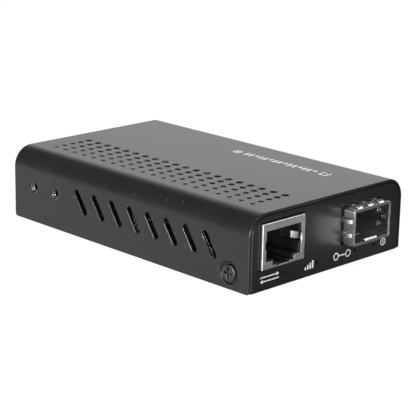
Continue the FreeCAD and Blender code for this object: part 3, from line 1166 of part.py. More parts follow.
def make_rounded_block(label, name, length, width, height, corner, crown, across, along):
    """Upright block with rounded corners and a rounded top edge."""
    body = new_body(name)
    bind(body, x=across, y=along, z=BOARD_TOP)
    block = rectangle(sketch_on(body, "XY"), f"-{length} / 2", f"{length} / 2", f"-{width} / 2",
                      f"{width} / 2")
    pad(body, block, height)
    round_edges(body, corner, long_edges(body, "z", x=[f"{length} / 2"]))
    round_edges(body, crown, top_edges(body))
    node(label, body)


def make_blocks():
    make_rounded_block("clock_crystal", "Crystal", "CrystalLength", "CrystalWidth", "CrystalHeight",
                       "0.48 * CrystalWidth", "0.1 * CrystalHeight", CRYSTAL_SIDE, CRYSTAL_AT)
    make_rounded_block("power_inductor", "Coil", "CoilSize", "CoilSize", "CoilHeight", "0.2 * CoilSize",
                       "0.1 * CoilHeight", "CoilSide", COIL_AT)


def make_electrolytic_capacitors():
    cans = []
    for can in "AB":
        across = f"(CaseWidth / 2 - CanFromSide{can})"
        base = box(f"CanBase{can}", f"{across} - CanBase / 2", f"{across} + CanBase / 2",
                   f"{CAN_AT} - CanBase / 2", f"{CAN_AT} + CanBase / 2", BOARD_TOP,
                   f"{BOARD_TOP} + CanBaseHeight")
        neck = cylinder(f"CanNeck{can}", "CanSize - CanNeck", "CanHeight", x=across, y=CAN_AT, z=BOARD_TOP)
        case = cylinder(f"CanCase{can}", "CanSize", "CanHeight - CanBaseHeight - CanNeck", x=across,
                        y=CAN_AT, z=f"{BOARD_TOP} + CanBaseHeight + CanNeck")
        cans.append(fuse(f"Can{can}", base, neck, case))
    node("electrolytic_capacitors", group("Cans", cans))


def make_small_parts():
    """Rows of chip capacitors and chip resistors."""
    rows = (("chip_capacitors", "SmallCap", "SmallCapHeight",
             ((CHIP_SIDE, f"{CHIP_AT} + ChipSize / 2 + LeadReach + 2 * SmallWidth"),
              ("RegulatorSide", f"{REGULATOR_AT} - MemoryWidth / 2 - LeadReach - 3 * SmallWidth"))),
            ("chip_resistors", "SmallRes", "SmallResHeight",
             ((CRYSTAL_SIDE, f"{CRYSTAL_AT} + CrystalWidth / 2 + 3 * SmallWidth"),
              (CRYSTAL_SIDE, f"{CRYSTAL_AT} + CrystalWidth / 2 + 6 * SmallWidth"))))
    for label, name, height, lines in rows:
        members = []
        for line, (across, along) in enumerate(lines):
            for index in range(count("SmallCount")):
                middle = f"{across} + ({index} - (SmallCount - 1) / 2) * SmallPitch"
                members.append(box(f"{name}{line}_{index}", f"{middle} - SmallLength / 2",
                                   f"{middle} + SmallLength / 2", f"{along} - SmallWidth / 2",
                                   f"{along} + SmallWidth / 2", BOARD_TOP, f"{BOARD_TOP} + {height}"))
        node(label, group(f"{name}Row", members))


# ---------------------------------------------------------------- build, check, write

def check_model():
    """Every object has recomputed cleanly, and every piece is a valid shape of whole solids."""
    for thing in doc.Objects:
        if {"Invalid", "Error"} & set(thing.State):
            raise RuntimeError(f"{thing.Name} failed: {thing.State}")
    for label, thing in nodes.items():
        shape = thing.Shape
        if shape.isNull() or not shape.isValid() or not shape.Solids:
            raise RuntimeError(f"{label} has no valid solid")


def write_pieces():
    os.makedirs("parts", exist_ok=True)
    for label, thing in nodes.items():
        thing.Shape.exportStep(f"parts/{label}.step")


make_top_cover()
make_base_tray()
make_cover_hooks()
make_cover_screws()
make_standoffs()
make_board_screws()
make_circuit_board()
make_rj45_shell()
make_rj45_housing()
make_rj45_contacts()
make_sfp_cage()
make_sfp_spring_collar()
make_sfp_connector()
make_status_leds()
make_dc_jack()
make_chips()
make_blocks()
make_electrolytic_capacitors()
make_small_parts()
doc.recompute()
check_model()
write_pieces()
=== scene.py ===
"""Looks of a fibre media converter: a folded, powder-coated steel case with a copper port and a fibre cage.

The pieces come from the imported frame. This script gives each one its finish, and adds the small things that
a press shop, a plater and a printer leave on them: rounded coated edges, bowed spring fingers, threads,
punched lips and printed signs.
"""

import json
import logging
import math
from dataclasses import dataclass
from enum import Enum
from typing import Any

import bmesh
import bpy
from bmesh.types import BMEdge, BMesh
from bpy.types import Material, Mesh, Node, NodeSocket, NodeTree, Object
from mathutils import Matrix, Vector

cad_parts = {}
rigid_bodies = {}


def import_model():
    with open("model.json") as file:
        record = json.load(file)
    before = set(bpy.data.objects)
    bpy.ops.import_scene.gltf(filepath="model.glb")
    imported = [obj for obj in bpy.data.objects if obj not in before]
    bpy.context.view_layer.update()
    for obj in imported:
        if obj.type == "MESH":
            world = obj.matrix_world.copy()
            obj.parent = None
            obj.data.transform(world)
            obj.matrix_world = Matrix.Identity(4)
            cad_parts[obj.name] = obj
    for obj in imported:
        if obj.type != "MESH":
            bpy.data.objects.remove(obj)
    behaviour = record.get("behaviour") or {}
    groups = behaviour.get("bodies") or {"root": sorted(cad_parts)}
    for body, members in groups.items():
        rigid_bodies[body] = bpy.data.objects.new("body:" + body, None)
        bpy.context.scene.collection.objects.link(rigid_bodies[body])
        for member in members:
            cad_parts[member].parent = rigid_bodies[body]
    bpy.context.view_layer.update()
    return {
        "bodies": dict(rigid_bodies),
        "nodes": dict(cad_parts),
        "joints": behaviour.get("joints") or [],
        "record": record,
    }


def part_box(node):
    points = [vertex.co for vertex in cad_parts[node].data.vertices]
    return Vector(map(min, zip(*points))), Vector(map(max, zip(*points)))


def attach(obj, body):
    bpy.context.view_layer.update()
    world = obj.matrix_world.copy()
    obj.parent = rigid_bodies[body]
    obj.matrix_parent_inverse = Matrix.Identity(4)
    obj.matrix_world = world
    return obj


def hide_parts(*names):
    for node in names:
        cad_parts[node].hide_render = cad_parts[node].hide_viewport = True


log = logging.getLogger("media_converter")
Pair = tuple[float, float]
Point = tuple[float, float, float]
Wiring = dict[str, Node | NodeSocket]
MM = 0.001
ROOT = "root"
# How far a corner may lie from a wall and still count as on it.
NEAR = 0.02 * MM
# Edges that turn by more than this are rounded, in this many steps.
EDGE_DEG = 35.0
EDGE_STEPS = 2
# How strongly large faces hold the shading of the roundings beside them.
FACE_WEIGHT = 80
# Points in one turn of a thread, and sides of its ridge.
THREAD_STEPS = 28
RIDGE_SIDES = 4
# Range that a noise texture mostly keeps to.
NOISE_SPAN = (0.3, 0.7)


# ---------------- small tools


def linear(colour: str) -> tuple[float, float, float, float]:
    """Turn an sRGB hex value into the linear colour that a socket takes.

    Args:
        colour: Six hex digits with a leading hash.

    Returns:
        Red, green, blue and alpha.
    """
    parts = [int(colour[start : start + 2], 16) / 255 for start in (1, 3, 5)]
    straight = [part / 12.92 if part <= 0.04045 else ((part + 0.055) / 1.055) ** 2.4 for part in parts]
    return (straight[0], straight[1], straight[2], 1.0)


def repeats(size_mm: float) -> float:
    """Turn the size of one grain into a texture's scale.

    Args:
        size_mm: Size of the grain.

    Returns:
        Grains per metre.
    """
    return 1 / (size_mm * MM)


def wire(tree: NodeTree, node: Node, inputs: dict[Any, Any]) -> None:
    """Give a node's inputs their values and links.

    Args:
        tree: The node tree.
        node: The node.
        inputs: For each input, by name or number, a value, a node or an output socket.
    """
    for key, given in inputs.items():
        if isinstance(given, Node):
            given = given.outputs[0]
        if isinstance(given, NodeSocket):
            tree.links.new(given, node.inputs[key])
        else:
            node.inputs[key].default_value = given


def add(tree: NodeTree, kind: str, inputs: dict[Any, Any] | None = None, **settings: Any) -> Node:
    """Add one node with its settings, values and links.

    Args:
        tree: The node tree.
        kind: The node's type.
        inputs: What its inputs get, as wire() takes it.
        settings: Properties of the node.

    Returns:
        The new node.
    """
    node = tree.nodes.new(kind)
    for name, setting in settings.items():
        setattr(node, name, setting)
    wire(tree, node, inputs or {})
    return node


# ---------------- finishes


@dataclass(frozen=True)
class Finish:
    """What every finish has: a name, the way it reflects, a fine grain, and clouds of a second shade."""

    title: str
    colour: str
    cloud_colour: str
    roughness: float
    metallic: float = 0.0
    ior: float = 1.5
    grain_mm: Point = (0.2, 0.2, 0.2)
    grain_detail: float = 2.0
    relief_mm: float = 0.0
    relief_share: float = 0.4
    gloss_spread: float = 0.0
    cloud_mm: float = 4.0
    cloud_detail: float = 2.0
    # Where on the cloud's noise the first and the second shade lie.
    cloud_span: Pair = (0.35, 0.65)

    def build(self) -> Material:
        """Make the material.

        Returns:
            The new material.
        """
        material = bpy.data.materials.new(self.title)
        material.use_nodes = True
        tree = material.node_tree
        shader = tree.nodes["Principled BSDF"]
        uniform = {"Base Color": linear(self.colour), "Roughness": self.roughness, "Metallic": self.metallic}
        wire(tree, shader, uniform)
        if not self.metallic:
            wire(tree, shader, {"IOR": self.ior})
        place = add(tree, "ShaderNodeTexCoord").outputs["Object"]
        wire(tree, shader, self.pattern(tree, place))
        return material

    def pattern(self, tree: NodeTree, place: NodeSocket) -> Wiring:
        """Draw the clouds in the colour, and the grain in the relief and the gloss.

        Args:
            tree: The material's tree.
            place: Object coordinates.

        Returns:
            What drives the inputs of the shader.
        """
        slow = {"Vector": place, "Scale": repeats(self.cloud_mm), "Detail": self.cloud_detail}
        cloud = add(tree, "ShaderNodeTexNoise", slow)
        span = {"Value": cloud, "From Min": self.cloud_span[0], "From Max": self.cloud_span[1]}
        share = add(tree, "ShaderNodeMapRange", span)
        shades = {"Factor": share, 6: linear(self.colour), 7: linear(self.cloud_colour)}
        wiring = {"Base Color": add(tree, "ShaderNodeMix", shades, data_type="RGBA").outputs[2]}
        if not self.relief_mm:
            return wiring
        stretch = tuple(repeats(size) for size in self.grain_mm)
        drawn = add(tree, "ShaderNodeMapping", {"Vector": place, "Scale": stretch})
        fine = {"Vector": drawn, "Scale": 1.0, "Detail": self.grain_detail}
        grain = add(tree, "ShaderNodeTexNoise", fine)
        relief = {"Height": grain, "Strength": self.relief_share, "Distance": self.relief_mm * MM}
        wiring["Normal"] = add(tree, "ShaderNodeBump", relief)
        if self.gloss_spread:
            wiring["Roughness"] = add(tree, "ShaderNodeMapRange", {
                "Value": grain, "From Min": NOISE_SPAN[0], "From Max": NOISE_SPAN[1],
                "To Min": self.roughness - self.gloss_spread, "To Max": self.roughness + self.gloss_spread})
        return wiring


@dataclass(frozen=True)
class PowderCoat(Finish):
    """Fine-textured polyester powder coat on steel sheet: a tight orange peel with a few bright grains."""

    # The real peel and grains are finer than the render can show, so both are drawn coarser.
    grain_mm: Point = (0.42, 0.42, 0.42)
    grain_detail: float = 3.0
    relief_mm: float = 0.012
    relief_share: float = 0.5
    gloss_spread: float = 0.05
    cloud_mm: float = 9.0
    # Specks: lighter grey painted into the colour as glints of grains that catch the light.
    speck_mm: float = 0.55
    glint_speck_colour: str = "#5a5a5c"
    # Only cells whose random rank is above this hold a speck, which reaches this share of the cell.
    speck_rank: float = 0.985
    speck_reach: float = 0.28

    def pattern(self, tree: NodeTree, place: NodeSocket) -> Wiring:
        """Add grains that catch the light to the peel and the clouds.

        Args:
            tree: The material's tree.
            place: Object coordinates.

        Returns:
            What drives the inputs of the shader.
        """
        wiring = super().pattern(tree, place)
        cells = add(tree, "ShaderNodeTexVoronoi", {"Vector": place, "Scale": repeats(self.speck_mm)})
        rank = add(tree, "ShaderNodeSeparateColor", {"Color": cells.outputs["Color"]}).outputs["Red"]
        chosen = add(tree, "ShaderNodeMath", {0: rank, 1: self.speck_rank}, operation="GREATER_THAN")
        apart = cells.outputs["Distance"]
        inside = add(tree, "ShaderNodeMath", {0: apart, 1: self.speck_reach}, operation="LESS_THAN")
        speck = add(tree, "ShaderNodeMath", {0: chosen, 1: inside}, operation="MULTIPLY")
        # Painted glints: the specks mix a lighter grey into the colour.
        shades = {"Factor": speck, 6: wiring["Base Color"], 7: linear(self.glint_speck_colour)}
        wiring["Base Color"] = add(tree, "ShaderNodeMix", shades, data_type="RGBA").outputs[2]
        return wiring


@dataclass(frozen=True)
class PlatedSheet(Finish):
    """Plated sheet metal: faint rolling lines along Y under the plating, and a cloudy lustre."""

    metallic: float = 1.0
    # Real rolling lines are a few hundredths of a millimetre wide; these are wide enough to show.
    grain_mm: Point = (0.12, 6.0, 0.12)
    relief_mm: float = 0.002
    relief_share: float = 0.3
    gloss_spread: float = 0.06
    cloud_mm: float = 2.5
    cloud_detail: float = 3.0
    cloud_span: Pair = (0.65, 0.35)


@dataclass(frozen=True)
class Moulded(Finish):
    """Moulded plastic or resin: a fine spark-eroded texture and a slightly uneven shade."""

    # The real texture is under a tenth of a millimetre, and is drawn coarser so that it shows.
    grain_mm: Point = (0.18, 0.18, 0.18)
    relief_mm: float = 0.006
    cloud_detail: float = 1.0


@dataclass(frozen=True)
class PrintedInk(Finish):
    """Pad-printed ink: pale, matt, and slightly thin where the coat's grain stands up."""

    # Near the size of the drawn peel that the ink lies on.
    cloud_mm: float = 0.3
    cloud_detail: float = 3.0
    cloud_span: Pair = (0.52, 0.38)


# Soft black with a grey sheen: broad highlights on the bends, and a few grains painted lighter as glints.
CASE_COAT = PowderCoat("textured_black_powder_coat_on_steel", "#111112", "#161617", 0.32)
# Dark grey metal: the head's rim and the edges of the cross show as thin light arcs.
SCREW_BLACK = PlatedSheet("black_zinc_plated_screw", "#5c5c5e", "#4a4a4c", 0.3)
# Cool light grey with a plain metallic shine.
ZINC = PlatedSheet("bright_zinc_plated_steel", "#b9bbbd", "#9a9c9e", 0.3)
# Warm light grey: an even face, and a clear light line where it folds.
NICKEL = PlatedSheet("satin_nickel_plated_brass_sheet", "#d2d0ca", "#c2c0ba", 0.34)
# Whitish metal: its fingers flash near their tips and go dark where they face the panel.
TIN = PlatedSheet("bright_tin_plated_bronze_sheet", "#d8d8d6", "#c4c4c2", 0.34)
# Nearly black and matt, so that the copper port looks deep.
NYLON = Moulded("moulded_black_nylon", "#18181a", "#202022", 0.42)
# Small yellow glints deep in both ports.
GOLD = PlatedSheet("hard_gold_plated_contacts", "#e2bd6c", "#cfa85a", 0.22)
# Milky dots just inside the four lamp holes.
LENS = Moulded("clear_epoxy_lamp", "#c9ccc4", "#dcdfd6", 0.15)
# Glossy dark green, seen through the vents and the rear.
SOLDER_MASK = Moulded("green_solder_mask_on_glass_epoxy", "#0f4a26", "#135a2f", 0.25)
# Dull charcoal of moulded chips.
RESIN = Moulded("black_epoxy_moulding_compound", "#18181a", "#222224", 0.5)
# Clean silver cans.
ALUMINIUM = PlatedSheet("drawn_aluminium_can", "#d6d7d9", "#c6c7c9", 0.25)
# Slightly warm silver of the inlet's pin and spring.
TINNED_BRASS = PlatedSheet("tinned_brass_contacts", "#cbc8c0", "#b9b6ae", 0.28)
# Light brown, faintly glossy blocks.
CERAMIC = Moulded("sintered_tan_ceramic", "#a5835c", "#b8966e", 0.4)
# Small shiny black blocks.
GLAZE = Moulded("black_glazed_film_resistor", "#1c1c1e", "#26262a", 0.2)
# Crisp white strokes, thinner in the hollows of the coat.
PRINT = PrintedInk("white_pad_print", "#f2f3f3", "#cfd1d2", 0.55)

SLOT_FINISH = {
    "case_paint": CASE_COAT,
    "screw_black": SCREW_BLACK,
    "plated_steel": ZINC,
    "port_shield": NICKEL,
    "port_insert": NYLON,
    "contact_gold": GOLD,
    "cage_metal": TIN,
    "lamp_lens": LENS,
    "board_mask": SOLDER_MASK,
    "chip_resin": RESIN,
    "can_metal": ALUMINIUM,
    "tinned_brass": TINNED_BRASS,
    "capacitor_body": CERAMIC,
    "resistor_body": GLAZE,
}


# ---------------- pieces in general


def linked(name: str, data: Any) -> Object:
    """Make an object and link it into the scene.

    Args:
        name: The object's name.
        data: Its mesh, lamp or camera.

    Returns:
        The new object.
    """
    thing = bpy.data.objects.new(name, data)
    bpy.context.scene.collection.objects.link(thing)
    return thing


def settled(form: BMesh, name: str) -> Mesh:
    """Turn a shape under construction into a mesh.

    Args:
        form: The shape; it is used up.
        name: The mesh's name.

    Returns:
        The mesh.
    """
    mesh = bpy.data.meshes.new(name)
    form.to_mesh(mesh)
    form.free()
    return mesh


def evaluated(carrier: Object) -> Mesh:
    """Take the plain result of an object's modifiers.

    Args:
        carrier: The object; it is used up.

    Returns:
        The resulting mesh.
    """
    ready = carrier.evaluated_get(bpy.context.evaluated_depsgraph_get())
    result = bpy.data.meshes.new_from_object(ready)
    bpy.data.objects.remove(carrier)
    return result


def place_piece(name: str, mesh: Mesh, slot: str, finish: Material, *nodes: str) -> Object:
    """Put a finished mesh into the scene as a piece of the object.

    Args:
        name: The piece's name.
        mesh: Its mesh, already in place.
        slot: Name of the material slot for its finish; not used.
        finish: Its material.
        nodes: Frame nodes that it stands for.

    Returns:
        The new object.
    """
    mesh.name = name
    mesh.materials.clear()
    mesh.materials.append(finish)
    piece = linked(name, mesh)
    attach(piece, ROOT)
    if nodes:
        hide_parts(*nodes)
    log.info("%s: %d faces", name, len(mesh.polygons))
    return piece


def finished_mesh(mesh: Mesh, tree: NodeTree | None = None, inputs: dict[str, Any] | None = None,
                  sheet_mm: float = 0.0, edge_mm: float = 0.0, clamped: bool = False) -> Mesh:
    """Run a mesh through sheet thickness, edge rounding and a node tree, and return the plain result.

    Args:
        mesh: The starting mesh.
        tree: Geometry Nodes tree, if one is used.
        inputs: Values of the tree's named inputs.
        sheet_mm: Thickness that a skin gets inward.
        edge_mm: Width of the rounding on sharp edges.
        clamped: Whether the rounding stays narrower than the smallest face beside it.

    Returns:
        The finished mesh.
    """
    carrier = linked("carrier", mesh)
    if sheet_mm:
        wall = carrier.modifiers.new("sheet", "SOLIDIFY")
        wall.thickness = sheet_mm * MM
        wall.offset = -1.0
        wall.use_even_offset = True
    if edge_mm:
        edge = carrier.modifiers.new("edge", "BEVEL")
        edge.width = edge_mm * MM
        edge.segments = EDGE_STEPS
        edge.use_clamp_overlap = clamped
        edge.limit_method = "ANGLE"
        edge.angle_limit = math.radians(EDGE_DEG)
    if tree:
        grown = carrier.modifiers.new("grown", "NODES")
        grown.node_group = tree
        for item in tree.interface.items_tree:
            if item.in_out == "INPUT" and item.name in (inputs or {}):
                grown[item.identifier] = inputs[item.name]
    return evaluated(carrier)


def smoothed(mesh: Mesh, sharp_deg: float = 24.0) -> Mesh:
    """Shade rounded faces smooth and keep flat ones flat.

    Args:
        mesh: The mesh.
        sharp_deg: Angle from which an edge stays sharp.

    Returns:
        A mesh of the same shape with its normals set.
    """
    mesh.shade_smooth()
    mesh.set_sharp_from_angle(angle=math.radians(sharp_deg))
    carrier = linked("carrier", mesh)
    weighted = carrier.modifiers.new("weighted", "WEIGHTED_NORMAL")
    weighted.keep_sharp = True
    weighted.weight = FACE_WEIGHT
    return evaluated(carrier)


def joined(meshes: list[Mesh]) -> Mesh:
    """Put several meshes into one.

    Args:
        meshes: The meshes; they are used up.

    Returns:
        One mesh.
    """
    together = bmesh.new()
    for mesh in meshes:
        together.from_mesh(mesh)
        bpy.data.meshes.remove(mesh)
    return settled(together, "joined")


def new_tree(title: str, **inputs: str) -> tuple[NodeTree, Node]:
    """Start a Geometry Nodes tree with named inputs, the last of them a material named Finish.

    Args:
        title: The tree's name.
        inputs: For each other input, what it holds, such as Float or Vector.

    Returns:
        The tree and its group input node.
    """
    tree = bpy.data.node_groups.new(title, "GeometryNodeTree")
    tree.interface.new_socket("Geometry", in_out="INPUT", socket_type="NodeSocketGeometry")
    for name, kind in {**inputs, "Finish": "Material"}.items():
        tree.interface.new_socket(name, in_out="INPUT", socket_type=f"NodeSocket{kind}")
    tree.interface.new_socket("Geometry", in_out="OUTPUT", socket_type="NodeSocketGeometry")
    return tree, add(tree, "NodeGroupInput")


def end_tree(tree: NodeTree, given: Node, shape: Node) -> None:
    """Close a tree with Realize Instances and Set Material.

    Args:
        tree: The tree.
        given: Its group input.
        shape: The node that gives the shape.
    """
    real = add(tree, "GeometryNodeRealizeInstances", {"Geometry": shape})
    dressed = add(tree, "GeometryNodeSetMaterial", {"Geometry": real, "Material": given.outputs["Finish"]})
    add(tree, "NodeGroupOutput", {"Geometry": dressed})


def row_tree() -> NodeTree:
    """Tree that repeats the incoming shape in a straight row, each one turned the same way.

    Returns:
        The tree, with inputs Count, Start, Step, Turn and Finish.
    """
    tree, given = new_tree("row_of_pressed_parts", Count="Int", Start="Vector", Step="Vector", Turn="Vector")
    line = add(tree, "GeometryNodeMeshLine", {
        "Count": given.outputs["Count"], "Start Location": given.outputs["Start"],
        "Offset": given.outputs["Step"]})
    turned = add(tree, "FunctionNodeEulerToRotation", {"Euler": given.outputs["Turn"]})
    spread = add(tree, "GeometryNodeInstanceOnPoints", {
        "Points": line, "Instance": given.outputs["Geometry"], "Rotation": turned})
    end_tree(tree, given, spread)
    return tree


def thread_tree() -> NodeTree:
    """Tree that winds one screw thread along X from the origin.

    Returns:
        The tree, with inputs Turns, Radius, Depth, Ridge and Finish.
    """
    tree, given = new_tree("tapped_thread", Turns="Float", Radius="Float", Depth="Float", Ridge="Float")
    spiral = add(tree, "GeometryNodeCurveSpiral", {
        "Resolution": THREAD_STEPS, "Rotations": given.outputs["Turns"], "Height": given.outputs["Depth"],
        "Start Radius": given.outputs["Radius"], "End Radius": given.outputs["Radius"]})
    section = {"Resolution": RIDGE_SIDES, "Radius": given.outputs["Ridge"]}
    ridge = add(tree, "GeometryNodeCurvePrimitiveCircle", section)
    wound = add(tree, "GeometryNodeCurveToMesh", {"Curve": spiral, "Profile Curve": ridge, "Fill Caps": True})
    level = add(tree, "GeometryNodeTransform", {"Geometry": wound, "Rotation": (0.0, math.pi / 2, 0.0)})
    end_tree(tree, given, level)
    return tree


@dataclass
class FormedSheet:
    """Formed piece of the frame with rounded folds at its outline and softened cut edges."""

    node: str
    name: str
    slot: str
    edge_mm: float = 0.2
    fold_mm: float = 0.0
    fold_steps: int = 4
    seat_mm: float = 0.0
    seat_along_mm: float = -41.8
    seat_up_mm: float = 4.6
    seat_radius_mm: float = 3.0
    clamped: bool = False
    sharp_deg: float = 24.0
    weld_mm: float = 0.0001
    flat_deg: float = 0.5

    def seat_edges(self, form: BMesh) -> list[BMEdge]:
        """Find the rims of the two screw seats in the node's sides.

        Args:
            form: The merged shape.

        Returns:
            The edges of both rims.
        """
        along, up, radius = self.seat_along_mm * MM, self.seat_up_mm * MM, self.seat_radius_mm * MM
        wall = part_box(self.node)[1][0]
        return [edge for edge in form.edges
                if all(abs(abs(end.co[0]) - wall) < NEAR
                       and abs(math.hypot(end.co[1] - along, end.co[2] - up) - radius) < NEAR
                       for end in edge.verts)]

    def fold_edges(self, form: BMesh) -> list[BMEdge]:
        """Find the edges of the node's front that lie on its sides and on its top.

        Args:
            form: The merged shape.

        Returns:
            Those edges.
        """
        low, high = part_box(self.node)
        walls = ((0, low[0]), (0, high[0]), (2, high[2]))
        return [edge for edge in form.edges
                if all(abs(end.co[1] - low[1]) < NEAR for end in edge.verts)
                and any(all(abs(end.co[axis] - wall) < NEAR for end in edge.verts) for axis, wall in walls)]

    def build(self, frame: dict[str, Any], finish: Material) -> None:
        """Copy the node's shape, merge it, round its folds and soften its edges.

        Args:
            finish: Material of the piece.
        """
        form = bmesh.new()
        form.from_mesh(frame["nodes"][self.node].data)
        bmesh.ops.remove_doubles(form, verts=form.verts, dist=self.weld_mm * MM)
        bmesh.ops.dissolve_limit(form, angle_limit=math.radians(self.flat_deg), verts=form.verts,
                                 edges=form.edges)
        roundings = ((self.fold_edges, self.fold_mm, self.fold_steps), (self.seat_edges, self.seat_mm, 1))
        for find, width_mm, steps in roundings:
            if width_mm:
                bmesh.ops.bevel(form, geom=find(form), offset=width_mm * MM, segments=steps, profile=0.5,
                                affect="EDGES", clamp_overlap=True)
        merged = settled(form, self.name)
        rounded = smoothed(finished_mesh(merged, edge_mm=self.edge_mm, clamped=self.clamped), self.sharp_deg)
        place_piece(self.name, rounded, self.slot, finish, self.node)


@dataclass
class SprungCollar:
    """Earthing collar round the fibre mouth: a windowed tube with smooth, bowed fingers."""

    width_mm: float = 15.4
    height_mm: float = 9.9
    reach_mm: float = 3.55
    rim_mm: float = 0.65
    sheet_mm: float = 0.2
    edge_mm: float = 0.07
    corner_mm: float = 0.5
    corner_steps: int = 4
    bow_mm: float = 0.62
    root_mm: float = 0.3
    tip_mm: float = 5.2
    window_mm: float = 0.35
    slit_mm: float = 0.75
    slit_ends: tuple[int, int] = (3, 5)
    top_width_mm: float = 1.95
    top_pitch_mm: float = 4.55
    top_count: int = 3
    side_width_mm: float = 1.15
    side_pitch_mm: float = 3.9
    side_count: int = 2
    side_first_mm: float = 2.9
    finger_steps: int = 16
    # Corners of a finger's Bezier curve: shares of its reach and of its bow.
    curve: tuple[Pair, ...] = ((0.0, 0.0), (0.16, 1.42), (0.55, 1.36), (1.0, 0.16))
    sharp_deg: float = 35.0

    def skin_stations(self) -> list[tuple[float, float, bool]]:
        """Walk round the tube, corner arcs and window edges included.

        Returns:
            For each station, its place across and up, and whether a window starts there.
        """
        half, high, bend = self.width_mm / 2, self.height_mm, self.corner_mm
        top_half = self.top_width_mm / 2 + self.window_mm
        side_half = self.side_width_mm / 2 + self.window_mm
        middles = [(index - (self.top_count - 1) / 2) * self.top_pitch_mm for index in range(self.top_count)]
        levels = [self.side_first_mm + index * self.side_pitch_mm for index in range(self.side_count)]
        stations: list[tuple[float, float, bool]] = []

        def arc(across: float, up: float, start_deg: float) -> None:
            """Add a corner's stations.

            Args:
                across: Centre of the corner, across.
                up: Centre of the corner, up.
                start_deg: Angle at which it starts.
            """
            for step in range(self.corner_steps + 1):
                angle = math.radians(start_deg + 90.0 * step / self.corner_steps)
                stations.append((across + bend * math.cos(angle), up + bend * math.sin(angle), False))

        for middle in middles:
            stations.append((middle - top_half, 0.0, True))
            stations.append((middle + top_half, 0.0, False))
        arc(half - bend, bend, -90.0)
        for level in levels:
            stations.append((half, level - side_half, True))
            stations.append((half, level + side_half, False))
        arc(half - bend, high - bend, 0.0)
        for middle in reversed(middles):
            stations.append((middle + top_half, high, True))
            stations.append((middle - top_half, high, False))
        arc(bend - half, high - bend, 90.0)
        for level in reversed(levels):
            stations.append((-half, level + side_half, True))
            stations.append((-half, level - side_half, False))
        arc(bend - half, bend, 180.0)
        return stations

    def tube(self) -> Mesh:
        """Skin of the tube: a closed rim in front, windows behind it.

        Returns:
            The mesh with its wall thickness.
        """
        form = bmesh.new()
        rows = (0.0, self.rim_mm, self.reach_mm)
        stations = self.skin_stations()
        rings = [[form.verts.new((across * MM, along * MM, up * MM)) for across, up, _ in stations]
                 for along in rows]
        for index, (_, _, window) in enumerate(stations):
            after = (index + 1) % len(stations)
            for row in range(1 if window else 2):
                front, back = rings[row], rings[row + 1]
                form.faces.new((front[index], front[after], back[after], back[index]))
        return finished_mesh(settled(form, "collar_skin"), sheet_mm=self.sheet_mm, edge_mm=self.edge_mm)

    def finger(self, width_mm: float, slit_mm: float) -> Mesh:
        """One bowed finger along Y, from under the rim to its tip.

        Args:
            width_mm: Width of the finger.
            slit_mm: Width of its slit, or 0.

        Returns:
            Its mesh, with thickness, arched towards +Z.
        """
        form = bmesh.new()
        half = width_mm / 2
        across = (-half, -slit_mm / 2, slit_mm / 2, half) if slit_mm else (-half, half)
        first = self.rim_mm - self.root_mm
        reach = self.root_mm + self.tip_mm
        rows = []
        for step in range(self.finger_steps + 1):
            part = step / self.finger_steps
            rest = 1 - part
            weights = (rest ** 3, 3 * part * rest ** 2, 3 * part ** 2 * rest, part ** 3)
            along = first + reach * sum(weight * corner[0] for weight, corner in zip(weights, self.curve))
            up = self.bow_mm * sum(weight * corner[1] for weight, corner in zip(weights, self.curve))
            rows.append([form.verts.new((side * MM, along * MM, up * MM)) for side in across])
        slit_steps = range(self.slit_ends[0], self.finger_steps - self.slit_ends[1])
        for step in range(self.finger_steps):
            near, far = rows[step], rows[step + 1]
            for cell in range(len(across) - 1):
                if slit_mm and cell == 1 and step in slit_steps:
                    continue
                form.faces.new((near[cell], near[cell + 1], far[cell + 1], far[cell]))
        return finished_mesh(settled(form, "finger_skin"), sheet_mm=self.sheet_mm)

    def build(self, finish: Material) -> None:
        """Make the collar at the mouth of the cage.

        Args:
            finish: Material of the collar.
        """
        low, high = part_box("sfp_spring_collar")
        middle = (low[0] + high[0]) / 2
        front = low[1]
        base = (low[2] + high[2]) / 2 - self.height_mm * MM / 2
        tree = row_tree()
        meshes = [self.tube()]
        for vertex in meshes[0].vertices:
            vertex.co += Vector((middle, front, base))
        left = middle - (self.top_count - 1) / 2 * self.top_pitch_mm * MM
        half = self.width_mm / 2 * MM
        first = base + self.side_first_mm * MM
        wide = (self.top_width_mm, self.slit_mm, self.top_count, (self.top_pitch_mm * MM, 0.0, 0.0))
        narrow = (self.side_width_mm, 0.0, self.side_count, (0.0, 0.0, self.side_pitch_mm * MM))
        for (width_mm, slit_mm, count, step), start, turn in (
            (wide, (left, front, base + self.height_mm * MM), 0.0),
            (wide, (left, front, base), math.pi),
            (narrow, (middle - half, front, first), -math.pi / 2),
            (narrow, (middle + half, front, first), math.pi / 2),
        ):
            meshes.append(finished_mesh(self.finger(width_mm, slit_mm), tree, {
                "Count": count, "Start": start, "Step": step, "Turn": (0.0, turn, 0.0), "Finish": finish}))
        whole = smoothed(joined(meshes), self.sharp_deg)
        place_piece("sprung_collar", whole, "cage_metal", finish, "sfp_spring_collar")


@dataclass
class BracketThreads:
    """Tapped threads in the bracket holes of both sides."""

    along_mm: Pair = (30.2, 39.9)
    up_mm: float = 10.6
    radius_mm: float = 1.62
    pitch_mm: float = 0.5
    depth_mm: float = 1.7
    ridge_mm: float = 0.16
    skin_mm: float = 31.25
    inset_mm: float = 0.15

    def build(self, finish: Material) -> None:
        """Wind a thread into each hole.

        Args:
            finish: Material of the threads.
        """
        tree = thread_tree()
        meshes = []
        for start in (self.inset_mm - self.skin_mm, self.skin_mm - self.depth_mm - self.inset_mm):
            for along in self.along_mm:
                thread = finished_mesh(bpy.data.meshes.new("seed"), tree, {
                    "Turns": self.depth_mm / self.pitch_mm, "Radius": self.radius_mm * MM,
                    "Depth": self.depth_mm * MM, "Ridge": self.ridge_mm * MM, "Finish": finish})
                for vertex in thread.vertices:
                    vertex.co += Vector((start, along, self.up_mm)) * MM
                meshes.append(thread)
        place_piece("bracket_threads", joined(meshes), "plated_steel", finish)


